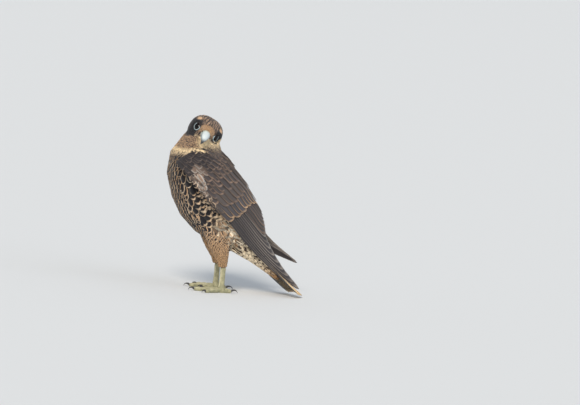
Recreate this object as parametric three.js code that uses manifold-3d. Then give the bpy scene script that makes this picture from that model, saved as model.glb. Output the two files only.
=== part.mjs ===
// Juvenile peregrine falcon, standing with its head turned to its left, as a life-size still model.
// Millimetres, +Z up. The bird faces -X and its left side is -Y. It stands on the floor at z = 0.
import * as THREE from "three";
import Module from "manifold-3d";
import { mergeVertices } from "three/addons/utils/BufferGeometryUtils.js";

const wasm = await Module();
wasm.setup();

// Driving dimensions
const GAP = 0.3; // room between two nodes that meet
const TRUNK_SIDES = 26; // points round the neck, torso and tail base
const HEAD_SIDES = 24; // points round the head
const HEAD_CENTRE = [-203, -12, 272.5]; // middle of the head, between the ears
const HEAD_TURN = 83; // degrees from straight ahead, to the bird's left
const HEAD_DROP = 3.4; // degrees that the bill points below level
const HEAD_TILT = 26.5; // degrees that the crown leans towards the tail
const HEAD_SQUARENESS = 2.4; // 2 is round, more is squarer
const EYE_RADIUS = 9;
const EYE_PLACE = [8, 14, 3]; // forward, to the side, up from the head's middle
const EYE_OUTWARD = 50; // degrees between the eye's axis and straight ahead
const LID = { radius: 6.9, thick: 1.5, forward: 5.6 }; // ring of bare lid, set along the eye's axis
const BROW = { reach: [10, 4, 3.2], turn: 62, place: [11, 17, 11.2] };
const NOSTRIL = { radius: 1.1, depth: 3, place: [25.8, 7.8, 1.2] };
const CERE_FRONT = 28.5; // forward of the head's middle, where cere meets horn
const FACE_FRONT = 22.7; // forward end of the feathered face
const GAPE_HEIGHT = -6.4; // height of the closed mouth in the head's frame
const TARSUS_TOP = 44; // where the thigh's feathers end and bare leg starts
const FOOT_X = -150;
const FOOT_Y = 28;
const WRIST = [-231.5, 213]; // x and z of the folded wing's bend
const LEFT_TIP = [-12, 18];
const RIGHT_TIP = [-3, 61];
const VANE = 0.6; // thickness of a flight feather's vane
const OVERLAP_SLOPE = 0.26; // how steeply a vane dips under its neighbour nearer the back

const material = (color, roughness) => new THREE.MeshStandardMaterial({ color, roughness, metalness: 0 });
const plumageBack = material(0x5a5452, 0.85);
const plumageBreast = material(0xd6a77c, 0.9);
const plumageHead = material(0x6b5a4e, 0.9);
const tailHorn = material(0x4a4646, 0.8);
const eyeGlass = material(0x0c0f18, 0.15);
const billHorn = material(0xaebcc0, 0.4);
const cereSkin = material(0x9fb0a8, 0.55);
const footSkin = material(0xa9ad7c, 0.6);
const clawHorn = material(0x24211f, 0.35);

const radians = THREE.MathUtils.degToRad;
const vec = (x, y, z) => new THREE.Vector3(x, y, z);
const mix = (from, to, share) => from + (to - from) * share;

// Seeded draw between 0 and 1, so that every run gives the same feathers
let seed = 7;
function random() {
  seed = (seed * 16807) % 2147483647;
  return seed / 2147483647;
}

// A station table's row at a place between two rows, by straight lines; the first number is the place
function rowAt(table, place) {
  let next = 1;
  while (next < table.length - 1 && table[next][0] < place) next += 1;
  const low = table[next - 1];
  const high = table[next];
  const share = THREE.MathUtils.clamp((place - low[0]) / (high[0] - low[0]), 0, 1);
  return low.map((value, i) => mix(value, high[i], share));
}

// Closed skin over rings of equal point count, with a fan at each end
function loft(rings) {
  const sides = rings[0].length;
  const points = rings.flat();
  const faces = [];
  for (let r = 0; r < rings.length - 1; r += 1) {
    for (let i = 0; i < sides; i += 1) {
      const j = (i + 1) % sides;
      const a = r * sides + i;
      const b = r * sides + j;
      faces.push([a, b, b + sides], [a, b + sides, a + sides]);
    }
  }
  for (const end of [0, rings.length - 1]) {
    const middle = points.length;
    const sum = rings[end].reduce((total, p) => total.add(p), vec(0, 0, 0));
    points.push(sum.divideScalar(sides));
    for (let i = 0; i < sides; i += 1) {
      const a = end * sides + i;
      const b = end * sides + (i + 1) % sides;
      faces.push(end === 0 ? [middle, b, a] : [middle, a, b]);
    }
  }
  return solidFrom(points, faces);
}

// A solid from points and triangles, turned so that its faces point out
function solidFrom(points, faces) {
  let volume = 0;
  for (const [a, b, c] of faces) {
    volume += points[a].dot(points[b].clone().cross(points[c]));
  }
  const turned = volume < 0 ? faces.map(([a, b, c]) => [a, c, b]) : faces;
  const mesh = new wasm.Mesh({
    numProp: 3,
    vertProperties: new Float32Array(points.flatMap((p) => [p.x, p.y, p.z])),
    triVerts: new Uint32Array(turned.flat()),
  });
  return new wasm.Manifold(mesh);
}

// A three.js geometry as a solid
function solidOf(geometry) {
  geometry.deleteAttribute("normal");
  geometry.deleteAttribute("uv");
  const merged = mergeVertices(geometry, 1e-4);
  const places = merged.getAttribute("position");
  const points = [];
  for (let i = 0; i < places.count; i += 1) points.push(vec(places.getX(i), places.getY(i), places.getZ(i)));
  const faces = [];
  for (let i = 0; i < merged.index.count; i += 3) {
    const face = [merged.index.getX(i), merged.index.getX(i + 1), merged.index.getX(i + 2)];
    if (new Set(face).size === 3) faces.push(face);
  }
  return solidFrom(points, faces);
}

// The largest closed surface of a solid
function largest(solid) {
  const pieces = solid.decompose();
  return pieces.reduce((best, piece) => (piece.volume() > best.volume() ? piece : best));
}

function meshOf(name, solid, look) {
  const data = largest(solid).simplify(0.03).getMesh();
  const geometry = new THREE.BufferGeometry();
  geometry.setAttribute("position", new THREE.BufferAttribute(new Float32Array(data.vertProperties), 3));
  geometry.setIndex(new THREE.BufferAttribute(new Uint32Array(data.triVerts), 1));
  geometry.computeVertexNormals();
  const mesh = new THREE.Mesh(geometry, look);
  mesh.name = name;
  return mesh;
}

// Rounded ring: side, up and down reaches from a centre, in the plane of two directions
function ring(centre, across, upward, side, up, down, sides, squareness = 2.2) {
  const power = 2 / squareness;
  return Array.from({ length: sides }, (_, i) => {
    const angle = (i / sides) * 2 * Math.PI;
    const c = Math.cos(angle);
    const s = Math.sin(angle);
    const x = Math.sign(c) * Math.abs(c) ** power * side;
    const y = Math.sign(s) * Math.abs(s) ** power * (s > 0 ? up : down);
    return centre.clone().addScaledVector(across, x).addScaledVector(upward, y);
  });
}

// Neck, torso and tail base as one flesh, before it is parted: x, z, half width, back and belly reach
const TRUNK = [
  [-207, 272, 24, 24, 28],
  [-206, 257, 33, 30, 38],
  [-206, 238, 45, 38, 52],
  [-203, 212, 52, 45, 60],
  [-192, 184, 54, 51, 62],
  [-178, 160, 52, 53, 62],
  [-160, 136, 47, 50, 55],
  [-136, 112, 38, 42, 42],
  [-111, 89, 29, 31, 28],
  [-86, 66, 22, 18, 17],
  [-63, 44, 18, 9, 9],
  [-46, 29, 13, 4, 4],
];

function trunkSolid(grow) {
  const line = TRUNK.map(([x, z]) => vec(x, 0, z));
  const rings = TRUNK.map(([, , side, back, belly], i) => {
    const before = line[Math.max(i - 1, 0)];
    const after = line[Math.min(i + 1, line.length - 1)];
    const along = after.clone().sub(before).normalize();
    const outward = vec(-along.z, 0, along.x);
    return ring(line[i], vec(0, 1, 0), outward, side + grow, back + grow, belly + grow, TRUNK_SIDES);
  });
  return loft(rings);
}

// The head's own frame: x forward, y to the bird's left, z up
const forward = vec(
  -Math.cos(radians(HEAD_TURN)) * Math.cos(radians(HEAD_DROP)),
  -Math.sin(radians(HEAD_TURN)) * Math.cos(radians(HEAD_DROP)),
  -Math.sin(radians(HEAD_DROP)),
);
const level = vec(0, 0, 1).cross(forward).normalize();
const upright = forward.clone().cross(level);
const headLeft = level.clone().multiplyScalar(Math.cos(radians(HEAD_TILT)))
  .addScaledVector(upright, -Math.sin(radians(HEAD_TILT)));
const headUp = forward.clone().cross(headLeft);
const headFrame = new THREE.Matrix4().makeBasis(forward, headLeft, headUp).setPosition(...HEAD_CENTRE);
const inHead = (x, y, z) => vec(x, y, z).applyMatrix4(headFrame);
const headDirection = (x, y, z) => vec(x, y, z).transformDirection(headFrame);

// Forward place, half width, reach up, reach down
const HEAD = [
  [-34, 9, 10, 12],
  [-30, 19, 19, 20],
  [-20, 27.5, 25.5, 25],
  [-9, 31, 28, 26],
  [2, 28.6, 25.5, 25],
  [9, 22.5, 21, 22],
  [14, 17.4, 16.5, 18],
  [18, 13.4, 13, 14.5],
  [21, 11, 10, 12.5],
  [24, 10, 9, 11],
];

function headSolid() {
  const across = headDirection(0, 1, 0);
  const upward = headDirection(0, 0, 1);
  const rings = HEAD.map(([x, side, up, down]) => (
    ring(inHead(x, 0, 0), across, upward, side, up, down, HEAD_SIDES, HEAD_SQUARENESS)
  ));
  return loft(rings);
}

const eyeCentre = (side) => inHead(EYE_PLACE[0], side * EYE_PLACE[1], EYE_PLACE[2]);
const eyeAxis = (side) => headDirection(
  Math.cos(radians(EYE_OUTWARD)), side * Math.sin(radians(EYE_OUTWARD)), 0.04,
);

function eyeBall(side, radius) {
  const ball = new THREE.SphereGeometry(radius, 16, 11);
  const centre = eyeCentre(side);
  ball.translate(centre.x, centre.y, centre.z);
  return solidOf(ball);
}

// Bare ring of lid round the eye
function lidRing(side) {
  const lid = new THREE.TorusGeometry(LID.radius, LID.thick, 6, 16);
  const turn = new THREE.Quaternion().setFromUnitVectors(vec(0, 0, 1), eyeAxis(side));
  const place = eyeCentre(side).addScaledVector(eyeAxis(side), LID.forward);
  lid.applyMatrix4(new THREE.Matrix4().compose(place, turn, vec(1, 1, 1)));
  return solidOf(lid);
}

// Ridge of bone and feather over the eye
function brow(side) {
  const ridge = new THREE.SphereGeometry(1, 10, 7);
  ridge.scale(...BROW.reach);
  ridge.rotateZ(side * radians(-BROW.turn));
  ridge.translate(BROW.place[0], side * BROW.place[1], BROW.place[2]);
  ridge.applyMatrix4(headFrame);
  return solidOf(ridge);
}

// Forward place, height, half width, half height of the bill along its curve, cere and horn together
const BILL = [
  [21, -1.5, 8.9, 8.7],
  [25, -1.4, 8.5, 8.4],
  [29, -2.2, 7.9, 7.6],
  [33, -4.4, 6.9, 6.4],
  [36.2, -7.8, 5.2, 5],
  [37.8, -11.6, 3.2, 3.4],
  [38, -15, 1.6, 2],
  [37.4, -17.6, 0.5, 0.8],
];

function billSolid() {
  const across = headDirection(0, 1, 0);
  const rings = BILL.map(([x, z, side, reach], i) => {
    const before = BILL[Math.max(i - 1, 0)];
    const after = BILL[Math.min(i + 1, BILL.length - 1)];
    const along = headDirection(after[0] - before[0], 0, after[1] - before[1]);
    const upward = along.clone().cross(across);
    return ring(inHead(x, 0, z), across, upward, side, reach, reach, 18, 2);
  });
  return loft(rings);
}

// Keeps the part of a solid on the side of a plane in the head's frame that the direction points to
function keepBeyond(solid, direction, offset) {
  const normal = headDirection(...direction);
  const along = normal.dot(vec(...HEAD_CENTRE)) + offset;
  return solid.trimByPlane(normal.toArray(), along);
}

function mouthBox(x0, x1, width, top, bottom) {
  const box = new THREE.BoxGeometry(x1 - x0, width, top - bottom);
  box.translate((x0 + x1) / 2, 0, (top + bottom) / 2);
  box.applyMatrix4(headFrame);
  return solidOf(box);
}

function nostril(side) {
  const hole = new THREE.CylinderGeometry(NOSTRIL.radius, NOSTRIL.radius, NOSTRIL.depth, 12);
  hole.translate(NOSTRIL.place[0], side * NOSTRIL.place[1], NOSTRIL.place[2]);
  hole.applyMatrix4(headFrame);
  return solidOf(hole);
}

// The lower bill lies under the gape, inside the upper bill's edges
function lowerBill() {
  const across = headDirection(0, 1, 0);
  const upward = headDirection(0, 0, 1);
  const stations = [[23, 6.6, 4.6], [27, 6, 4.2], [31, 4.6, 3.2], [33.4, 2.6, 1.8]];
  const rings = stations.map(([x, side, down]) => (
    ring(inHead(x, 0, GAPE_HEIGHT - GAP), across, upward, side, 0.4, down, 16, 2)
  ));
  return keepBeyond(loft(rings), [0, 0, -1], -(GAPE_HEIGHT - GAP));
}

// Folded wing as a sheet bent round the body: place along the chord, centre offset, back and side reach
const LEFT_WING = {
  side: -1,
  tip: LEFT_TIP,
  rows: [
    [-30, -4, 50, 46], [0, -8, 58, 54], [40, -8, 66, 60], [95, -8, 64, 58], [140, -10, 57, 47],
    [175, -11, 47, 36], [210, -9, 33, 27], [250, -6, 19, 20], [300, -1, 7, 12],
  ],
};
const RIGHT_WING = {
  side: 1,
  tip: RIGHT_TIP,
  rows: [
    [-30, -4, 50, 46], [0, -9, 58, 54], [40, -12, 66, 60], [95, -18, 64, 58], [140, -26, 56, 48],
    [175, -26, 46, 40], [210, -21, 32, 35], [250, -12, 18, 33], [276, -8, 13, 32],
  ],
};
const FIRST_LANE = 3; // degrees above the wing's lower edge at which the first feather lies

// A point of the wing's sheet: s along the chord, angle from the side towards the back, lift off the sheet
function wingPoint(wing, s, angle, lift) {
  const chord = vec(wing.tip[0] - WRIST[0], 0, wing.tip[1] - WRIST[1]).normalize();
  const backward = vec(-chord.z, 0, chord.x);
  const [, offset, back, side] = rowAt(wing.rows, s);
  const place = vec(WRIST[0], 0, WRIST[1]).addScaledVector(chord, s);
  place.addScaledVector(backward, offset + (back + lift) * Math.sin(radians(angle)));
  place.y = wing.side * (side + lift) * Math.cos(radians(angle));
  return place;
}

// The angle of a feather's middle line: lanes lie side by side and spread towards the wing's tip
function laneAngle(lane, pitch, s) {
  const spread = 1 + 0.6 * THREE.MathUtils.clamp((s - 120) / 170, 0, 1);
  return FIRST_LANE + lane * pitch * spread;
}

// Closed thin plate between an outer and an inner net of points, split alike on both faces
function plate(outer, inner) {
  const rows = outer.length;
  const columns = outer[0].length;
  const points = [...outer.flat(), ...inner.flat()];
  const under = rows * columns;
  const faces = [];
  for (let r = 0; r < rows - 1; r += 1) {
    for (let i = 0; i < columns - 1; i += 1) {
      const a = r * columns + i;
      const c = a + columns + 1;
      faces.push([a, a + 1, c], [a, c, a + columns]);
      faces.push([under + a, under + c, under + a + 1], [under + a, under + a + columns, under + c]);
    }
  }
  const rim = [];
  for (let i = 0; i < columns - 1; i += 1) rim.push(i);
  for (let r = 0; r < rows - 1; r += 1) rim.push(r * columns + columns - 1);
  for (let i = columns - 1; i > 0; i -= 1) rim.push((rows - 1) * columns + i);
  for (let r = rows - 1; r > 0; r -= 1) rim.push(r * columns);
  rim.forEach((a, k) => {
    const b = rim[(k + 1) % rim.length];
    faces.push([a, under + a, under + b], [a, under + b, b]);
  });
  return solidFrom(points, faces);
}

// Shares of a vane's length and its breadth there
const VANE_SHAPE = [[0, 0.6], [0.34, 0.95], [0.66, 1], [0.9, 0.74], [1, 0.16]];
const RISEN = 0.34; // share of its length by which a vane has come up from under the row before

// One feather on the wing's sheet, its root sunk in the wing's core
function wingVane(wing, lane, tier, tip) {
  const outer = [];
  const inner = [];
  for (const [share, breadth] of VANE_SHAPE) {
    const s = mix(tier.root, tip, share);
    const [, , back, side] = rowAt(wing.rows, s);
    const half = tier.width * breadth / 2;
    const degrees = THREE.MathUtils.radToDeg(half / ((back + side) / 2));
    const lift = mix(-tier.sink, tier.lift, Math.min(1, share / RISEN));
    const angle = laneAngle(lane, tier.pitch, s);
    const edge = (turn, drop) => {
      const dip = turn * half * OVERLAP_SLOPE;
      return wingPoint(wing, s, angle + turn * degrees, lift - dip - drop);
    };
    outer.push([edge(-1, 0), edge(1, 0)]);
    inner.push([edge(-1, VANE), edge(1, VANE)]);
  }
  return plate(outer, inner);
}

// Tiers of the folded wing: flight feathers, then greater, median and lesser coverts with the scapulars
const TIERS = {
  flight: { root: 62, width: 17, lift: 0.5, sink: 3, pitch: 6.1 },
  greater: { root: 48, width: 19, lift: 4.2, sink: 2, pitch: 8.4 },
  median: { root: 14, width: 19, lift: 6.6, sink: 2, pitch: 9.6 },
  lesser: { root: -16, width: 19, lift: 8.2, sink: 1.5, pitch: 10.8 },
};
const FLIGHT_TIPS = [1, 0.985, 0.92, 0.85, 0.78, 0.71, 0.645, 0.59, 0.55, 0.52, 0.5, 0.485];
const COVERT_ROWS = [
  { tier: TIERS.greater, lanes: 8, tip: 116, lengthening: 1.6 },
  { tier: TIERS.median, lanes: 7, tip: 80, lengthening: 1.4 },
  { tier: TIERS.lesser, lanes: 6, tip: 46, lengthening: 1.2 },
];

// Smooth body of the folded wing under its feathers, from the bend to where the flight feathers come free
const CORE_START = -15;
const CORE_END = 140;
const CORE_TOP_ANGLE = 78;

function wingCore(wing) {
  const steps = 9;
  const across = 7;
  const outer = [];
  const inner = [];
  for (let k = 0; k <= steps; k += 1) {
    const share = k / steps;
    const s = mix(CORE_START, CORE_END, share);
    const low = mix(12, -4, Math.min(1, share * 2));
    const high = CORE_TOP_ANGLE * Math.min(1, 0.85 + share * 2);
    const row = Array.from({ length: across + 1 }, (_, i) => mix(low, high, i / across));
    outer.push(row.map((angle) => wingPoint(wing, s, angle, mix(1.5, -0.6, share))));
    inner.push(row.map((angle) => wingPoint(wing, s, angle, mix(-12, -4, share))));
  }
  return plate(outer, inner);
}

function wingSolid(wing) {
  const length = wing.rows[wing.rows.length - 1][0] - 4;
  const pieces = [wingCore(wing)];
  FLIGHT_TIPS.forEach((tip, lane) => pieces.push(wingVane(wing, lane, TIERS.flight, tip * length)));
  for (const { tier, lanes, tip, lengthening } of COVERT_ROWS) {
    for (let lane = 0; lane < lanes; lane += 1) {
      pieces.push(wingVane(wing, lane, tier, tip + lengthening * lane + 3 * (random() - 0.5)));
    }
  }
  return wasm.Manifold.union(pieces);
}

// Every low point is laid on the floor, which gives the toes their small flats
function onFloor(points) {
  points.forEach((p) => {
    p.z = Math.max(p.z, 0);
  });
  return points;
}

// Tail: distance from the root, x, z, degrees of roll
const TAIL = [[0, -102, 82, 18], [34, -76, 59, 18], [70, -50, 37, 15], [104, -24, 16, 10], [132, -3, 1.4, 6]];
const TAIL_ROOT = 34;
const TAIL_LENGTH = 132;
const RECTRICES = 6; // feathers on each side of the tail
const RECTRIX = { half: 6.4, middle: 6.8, step: 3.3, splay: 3.2, lift: 1.6, drop: 1.05, shortening: 1.6 };
const LEFT_LONGER = 9; // the tail's left half reaches farther than its right half

// A point of the tail: distance from the root, across to the right, lift
function tailPoint(place, across, lift) {
  const [, x, z, roll] = rowAt(TAIL, place);
  const turn = radians(roll);
  return vec(x, 0, z)
    .addScaledVector(vec(0, Math.cos(turn), -Math.sin(turn)), across)
    .addScaledVector(vec(0.62, 0, 0.78), lift);
}

// The middle pair lies on top, and each feather farther out lies under the one before it
function rectrix(side, rank) {
  const outer = [];
  const inner = [];
  const length = TAIL_LENGTH - (side > 0 ? LEFT_LONGER : 0) - RECTRIX.shortening * rank;
  const lift = RECTRIX.lift - RECTRIX.drop * rank;
  for (const [share, breadth] of VANE_SHAPE) {
    const place = mix(TAIL_ROOT, length, share);
    const half = RECTRIX.half * Math.min(1, breadth + 0.12);
    const spread = RECTRIX.step * rank * mix(0.75, 1.06, share);
    const middle = side * (RECTRIX.middle + spread + RECTRIX.splay * share ** 3);
    const edges = [middle - half, middle + half];
    outer.push(onFloor(edges.map((across) => tailPoint(place, across, lift))));
    inner.push(onFloor(edges.map((across) => tailPoint(place, across, lift - VANE))));
  }
  return plate(outer, inner);
}

function rectrices() {
  const feathers = [];
  for (const side of [-1, 1]) {
    for (let rank = 0; rank < RECTRICES; rank += 1) feathers.push(rectrix(side, rank));
  }
  return wasm.Manifold.union(feathers);
}

// The room of the closed tail, which the wings' feathers lie clear of
function tailRoom() {
  const reach = RECTRIX.middle + RECTRIX.step * (RECTRICES - 1) + RECTRIX.half + RECTRIX.splay + 1;
  const top = RECTRIX.lift + GAP;
  const corners = [[-reach, top], [reach, top], [reach, -6], [-reach, -6]];
  const rings = [TAIL_ROOT - 1.5, 52, 70, 87, 104, 118, TAIL_LENGTH + 1].map((place) => (
    corners.map(([across, lift]) => tailPoint(place, across, lift))
  ));
  return loft(rings);
}

// Feathered thigh, from inside the flank to the bare leg
function thigh(side) {
  const stations = [[-176, 22, 128, 20, 26], [-168, 25, 100, 19, 24], [-159, 27, 72, 14, 17],
    [-153, 28, 54, 9, 10], [-151, FOOT_Y, TARSUS_TOP - 4, 6.5, 7.5]];
  const rings = stations.map(([x, y, z, wide, deep]) => (
    ring(vec(x, side * y, z), vec(0, 1, 0), vec(1, 0, 0), wide, deep, deep, 18, 2)
  ));
  return loft(rings).trimByPlane([0, 0, 1], TARSUS_TOP);
}

// Toes: length, degrees from straight ahead towards the middle line, thickness at the root, claw length
const TOES = {
  inner: { length: 30, turn: 32, thick: 4.6, claw: 15 },
  middle: { length: 46, turn: 3, thick: 4.4, claw: 13 },
  outer: { length: 36, turn: -34, thick: 4, claw: 11 },
  hind: { length: 19, turn: 172, thick: 4.8, claw: 16 },
};
const PADS = [1, 0.86, 1.08, 0.84, 1.04, 0.8, 0.95, 0.7];

function toeLine(side, toe) {
  const angle = radians(toe.turn);
  const along = vec(-Math.cos(angle), -side * Math.sin(angle), 0);
  const start = vec(FOOT_X - 1, side * FOOT_Y, 0);
  return { along, start, across: vec(-along.y, along.x, 0) };
}

function toeSolid(side, toe) {
  const { along, start, across } = toeLine(side, toe);
  const rings = PADS.map((pad, i) => {
    const share = i / (PADS.length - 1);
    const thick = toe.thick * pad * mix(1, 0.78, share);
    const place = start.clone().addScaledVector(along, toe.length * share);
    place.z = mix(4.4, 3.2, share);
    return onFloor(ring(place, across, vec(0, 0, 1), thick, thick, thick + 1, 8, 2.2));
  });
  return loft(rings);
}

function tarsus(side) {
  const stations = [[-150.5, 50, 4.2, 5.2], [-150, 30, 3.8, 4.6], [-150, 14, 4.4, 5], [-150, 5, 6, 6.5],
    [-150, 0, 4.4, 5]];
  const rings = stations.map(([x, z, wide, deep]) => (
    ring(vec(x, side * FOOT_Y, z), vec(0, 1, 0), vec(1, 0, 0), wide, deep, deep, 12, 2)
  ));
  return loft(rings).trimByPlane([0, 0, -1], -(TARSUS_TOP - GAP));
}

function foot(side) {
  return wasm.Manifold.union([tarsus(side), ...Object.values(TOES).map((toe) => toeSolid(side, toe))]);
}

// A claw leaves the toe's end face level, and curves down to a point just above the floor
function claw(side, toe) {
  const { along, start, across } = toeLine(side, toe);
  const steps = 6;
  const rings = [];
  for (let k = 0; k <= steps; k += 1) {
    const share = k / steps;
    const bend = radians(78 * share);
    const place = start.clone().addScaledVector(along, toe.length + GAP + toe.claw * 0.78 * Math.sin(bend));
    place.z = 3.6 + toe.claw * 0.16 * Math.sin(Math.PI * share) - 3 * share ** 2;
    const thick = mix(2.5, 0.35, share ** 0.8);
    const upward = vec(0, 0, 1).multiplyScalar(Math.cos(bend)).addScaledVector(along, Math.sin(bend) * 0.7);
    rings.push(onFloor(ring(place, across, upward, thick * 0.8, thick, thick, 8, 2)));
  }
  return loft(rings);
}

// Planes that part the flesh: a point on the middle line and the direction towards the head
const PARTINGS = {
  head: { at: [-203, 0, 240], towards: [0.16, 0.1, 0.98] },
  neck: { at: [-201, 0, 222], towards: [-0.05, 0, 1] },
  tail: { at: [-106, 0, 82], towards: [-0.74, 0, 0.67] },
};

function partedAt(solid, name) {
  const towards = vec(...PARTINGS[name].towards).normalize();
  const offset = towards.dot(vec(...PARTINGS[name].at));
  const before = solid.trimByPlane(towards.toArray(), offset + GAP / 2);
  const after = solid.trimByPlane(towards.clone().negate().toArray(), -(offset - GAP / 2));
  return [before, after];
}

const flesh = headSolid().add(trunkSolid(0));
const [headFlesh, belowHead] = partedAt(flesh, "head");
const [neckFlesh, belowNeck] = partedAt(belowHead, "neck");
const [torsoFlesh, tailFlesh] = partedAt(belowNeck, "tail");

const falcon = new THREE.Group();

function addHead() {
  let head = keepBeyond(headFlesh, [-1, 0, 0], -FACE_FRONT);
  head = head.add(lidRing(-1)).add(lidRing(1)).add(brow(-1)).add(brow(1));
  head = head.subtract(eyeBall(-1, EYE_RADIUS + GAP)).subtract(eyeBall(1, EYE_RADIUS + GAP));
  head = head.subtract(mouthBox(17.5, 30, 60, GAPE_HEIGHT, GAPE_HEIGHT - GAP * 2));
  falcon.add(meshOf("head", head, plumageHead));
  falcon.add(meshOf("eye_left", eyeBall(1, EYE_RADIUS), eyeGlass));
  falcon.add(meshOf("eye_right", eyeBall(-1, EYE_RADIUS), eyeGlass));
}

function addBill() {
  const under = mouthBox(10, 35, 40, GAPE_HEIGHT, -40);
  const whole = billSolid().subtract(under);
  let cere = keepBeyond(keepBeyond(whole, [1, 0, 0], FACE_FRONT + GAP), [-1, 0, 0], -CERE_FRONT);
  cere = cere.subtract(nostril(-1)).subtract(nostril(1));
  falcon.add(meshOf("cere", cere, cereSkin));
  falcon.add(meshOf("bill_upper", keepBeyond(whole, [1, 0, 0], CERE_FRONT + GAP), billHorn));
  falcon.add(meshOf("bill_lower", lowerBill(), billHorn));
}

function addBody() {
  falcon.add(meshOf("neck", neckFlesh, plumageBreast));
  falcon.add(meshOf("torso", torsoFlesh, plumageBreast));
  falcon.add(meshOf("tail", tailFlesh.add(rectrices()).subtract(torsoRoom), tailHorn));
}

function addWing(name, wing) {
  const middle = [0, wing.side, 0];
  const feathered = wingSolid(wing).subtract(wingRoom).trimByPlane(middle, 1);
  falcon.add(meshOf(name, feathered, plumageBack));
}

function addLegs() {
  for (const [name, side] of [["left", -1], ["right", 1]]) {
    falcon.add(meshOf(`thigh_${name}`, thigh(side).subtract(fleshRoom), plumageBreast));
    falcon.add(meshOf(`foot_${name}`, foot(side), footSkin));
    for (const [toeName, toe] of Object.entries(TOES)) {
      falcon.add(meshOf(`claw_${name}_${toeName}`, claw(side, toe), clawHorn));
    }
  }
}

// The room that the flesh takes, with the gap that keeps its neighbours clear
const grownTrunk = trunkSolid(GAP + 0.05);
const [, grownBelowHead] = partedAt(grownTrunk, "head");
const [torsoRoom] = partedAt(grownTrunk, "tail");
const fleshRoom = wasm.Manifold.union([grownTrunk, grownBelowHead]);
const wingRoom = fleshRoom.add(tailRoom());

addHead();
addBill();
addBody();
addWing("wing_left", LEFT_WING);
addWing("wing_right", RIGHT_WING);
addLegs();

// The frame's origin is under the middle of the model, on the floor
const box = new THREE.Box3().setFromObject(falcon);
falcon.position.set(-(box.min.x + box.max.x) / 2, -(box.min.y + box.max.y) / 2, -box.min.z);

export default falcon;
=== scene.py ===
# %% [markdown]
# A young peregrine falcon stands with folded wings and looks over its left side.
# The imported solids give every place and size. This script lays skin, feathers, eyes, bill and feet
# around them, one piece at a time, and each cell says why a piece is made the way it is.

import math
from functools import partial

import bmesh
import bpy
import numpy as np
from mathutils import Matrix, Vector
from mathutils.bvhtree import BVHTree


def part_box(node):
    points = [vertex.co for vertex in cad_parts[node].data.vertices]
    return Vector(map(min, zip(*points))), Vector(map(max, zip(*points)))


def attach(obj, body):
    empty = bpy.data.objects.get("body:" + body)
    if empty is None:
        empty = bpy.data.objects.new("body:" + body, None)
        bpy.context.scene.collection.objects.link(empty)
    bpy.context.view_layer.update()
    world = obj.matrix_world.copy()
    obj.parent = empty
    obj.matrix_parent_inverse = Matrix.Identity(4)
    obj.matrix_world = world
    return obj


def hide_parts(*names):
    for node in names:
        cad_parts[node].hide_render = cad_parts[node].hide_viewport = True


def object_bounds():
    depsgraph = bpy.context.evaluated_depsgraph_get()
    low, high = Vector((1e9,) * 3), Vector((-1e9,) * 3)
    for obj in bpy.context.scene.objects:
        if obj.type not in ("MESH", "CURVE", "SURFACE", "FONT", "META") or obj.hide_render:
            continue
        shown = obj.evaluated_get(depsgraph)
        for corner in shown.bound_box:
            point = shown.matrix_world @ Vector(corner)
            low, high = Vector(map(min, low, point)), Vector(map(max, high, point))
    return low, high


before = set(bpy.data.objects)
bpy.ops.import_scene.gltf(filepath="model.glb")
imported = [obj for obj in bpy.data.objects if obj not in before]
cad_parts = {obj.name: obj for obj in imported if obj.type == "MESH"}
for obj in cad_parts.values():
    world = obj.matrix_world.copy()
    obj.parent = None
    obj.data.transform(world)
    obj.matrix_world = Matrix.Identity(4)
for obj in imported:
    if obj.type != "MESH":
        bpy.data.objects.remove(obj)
solid_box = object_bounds()
MM = 0.001
BODY_SIDES = (("left", -1), ("right", 1))
random_draw = np.random.default_rng(11)
print("solids' box in metres", [tuple(round(v, 4) for v in corner) for corner in solid_box])

# %% [markdown]
# The bird's own sizes are the ones that its solids were made from, in millimetres: the line of the
# body, the turn of the head, and the bend and tips of the folded wings. The solids were then moved so
# that the origin lies under their middle. The left eye is a true ball, so the middle of its box tells
# how far they were moved.

# %% Sizes of the bird
HEAD_CENTRE = np.array([-203.0, -12.0, 272.5])
HEAD_TURN = 83.0
HEAD_DROP = 3.4
HEAD_TILT = 26.5
EYE_RADIUS = 9.0
EYE_PLACE = (8.0, 14.0, 3.0)
EYE_OUTWARD = 50.0
FOOT_X = -150.0
FOOT_Y = 28.0
WRIST = (-231.5, 213.0)
# x, z, half width, back and belly reach of the body
TRUNK = np.array([
    (-207, 272, 24, 24, 28), (-206, 257, 33, 30, 38), (-206, 238, 45, 38, 52), (-203, 212, 52, 45, 60),
    (-192, 184, 54, 51, 62), (-178, 160, 52, 53, 62), (-160, 136, 47, 50, 55), (-136, 112, 38, 42, 42),
    (-111, 89, 29, 31, 28), (-86, 66, 22, 18, 17), (-63, 44, 18, 9, 9), (-46, 29, 13, 4, 4),
], float)
# place along the chord, centre offset, back reach and side reach of each folded wing
WINGS = {
    "left": dict(side=-1, tip=(-12.0, 18.0), rows=np.array([
        (-30, -4, 50, 46), (0, -8, 58, 54), (40, -8, 66, 60), (95, -8, 64, 58), (140, -10, 57, 47),
        (175, -11, 47, 36), (210, -9, 33, 27), (250, -6, 19, 20), (300, -1, 7, 12)], float)),
    "right": dict(side=1, tip=(-3.0, 61.0), rows=np.array([
        (-30, -4, 50, 46), (0, -9, 58, 54), (40, -12, 66, 60), (95, -18, 64, 58), (140, -26, 56, 48),
        (175, -26, 46, 40), (210, -21, 32, 35), (250, -12, 18, 33), (276, -8, 13, 32)], float)),
}
# place along the tail, x, z and slope of its sheet
TAIL = np.array([(0, -102, 82, 18), (34, -76, 59, 18), (70, -50, 37, 15), (104, -24, 16, 10),
                 (132, -3, 1.4, 6)], float)


def table_at(table, place):
    """Rows of a table at places along its first column, by straight lines."""
    return [np.interp(np.asarray(place, float), table[:, 0], column) for column in table.T[1:]]


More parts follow.
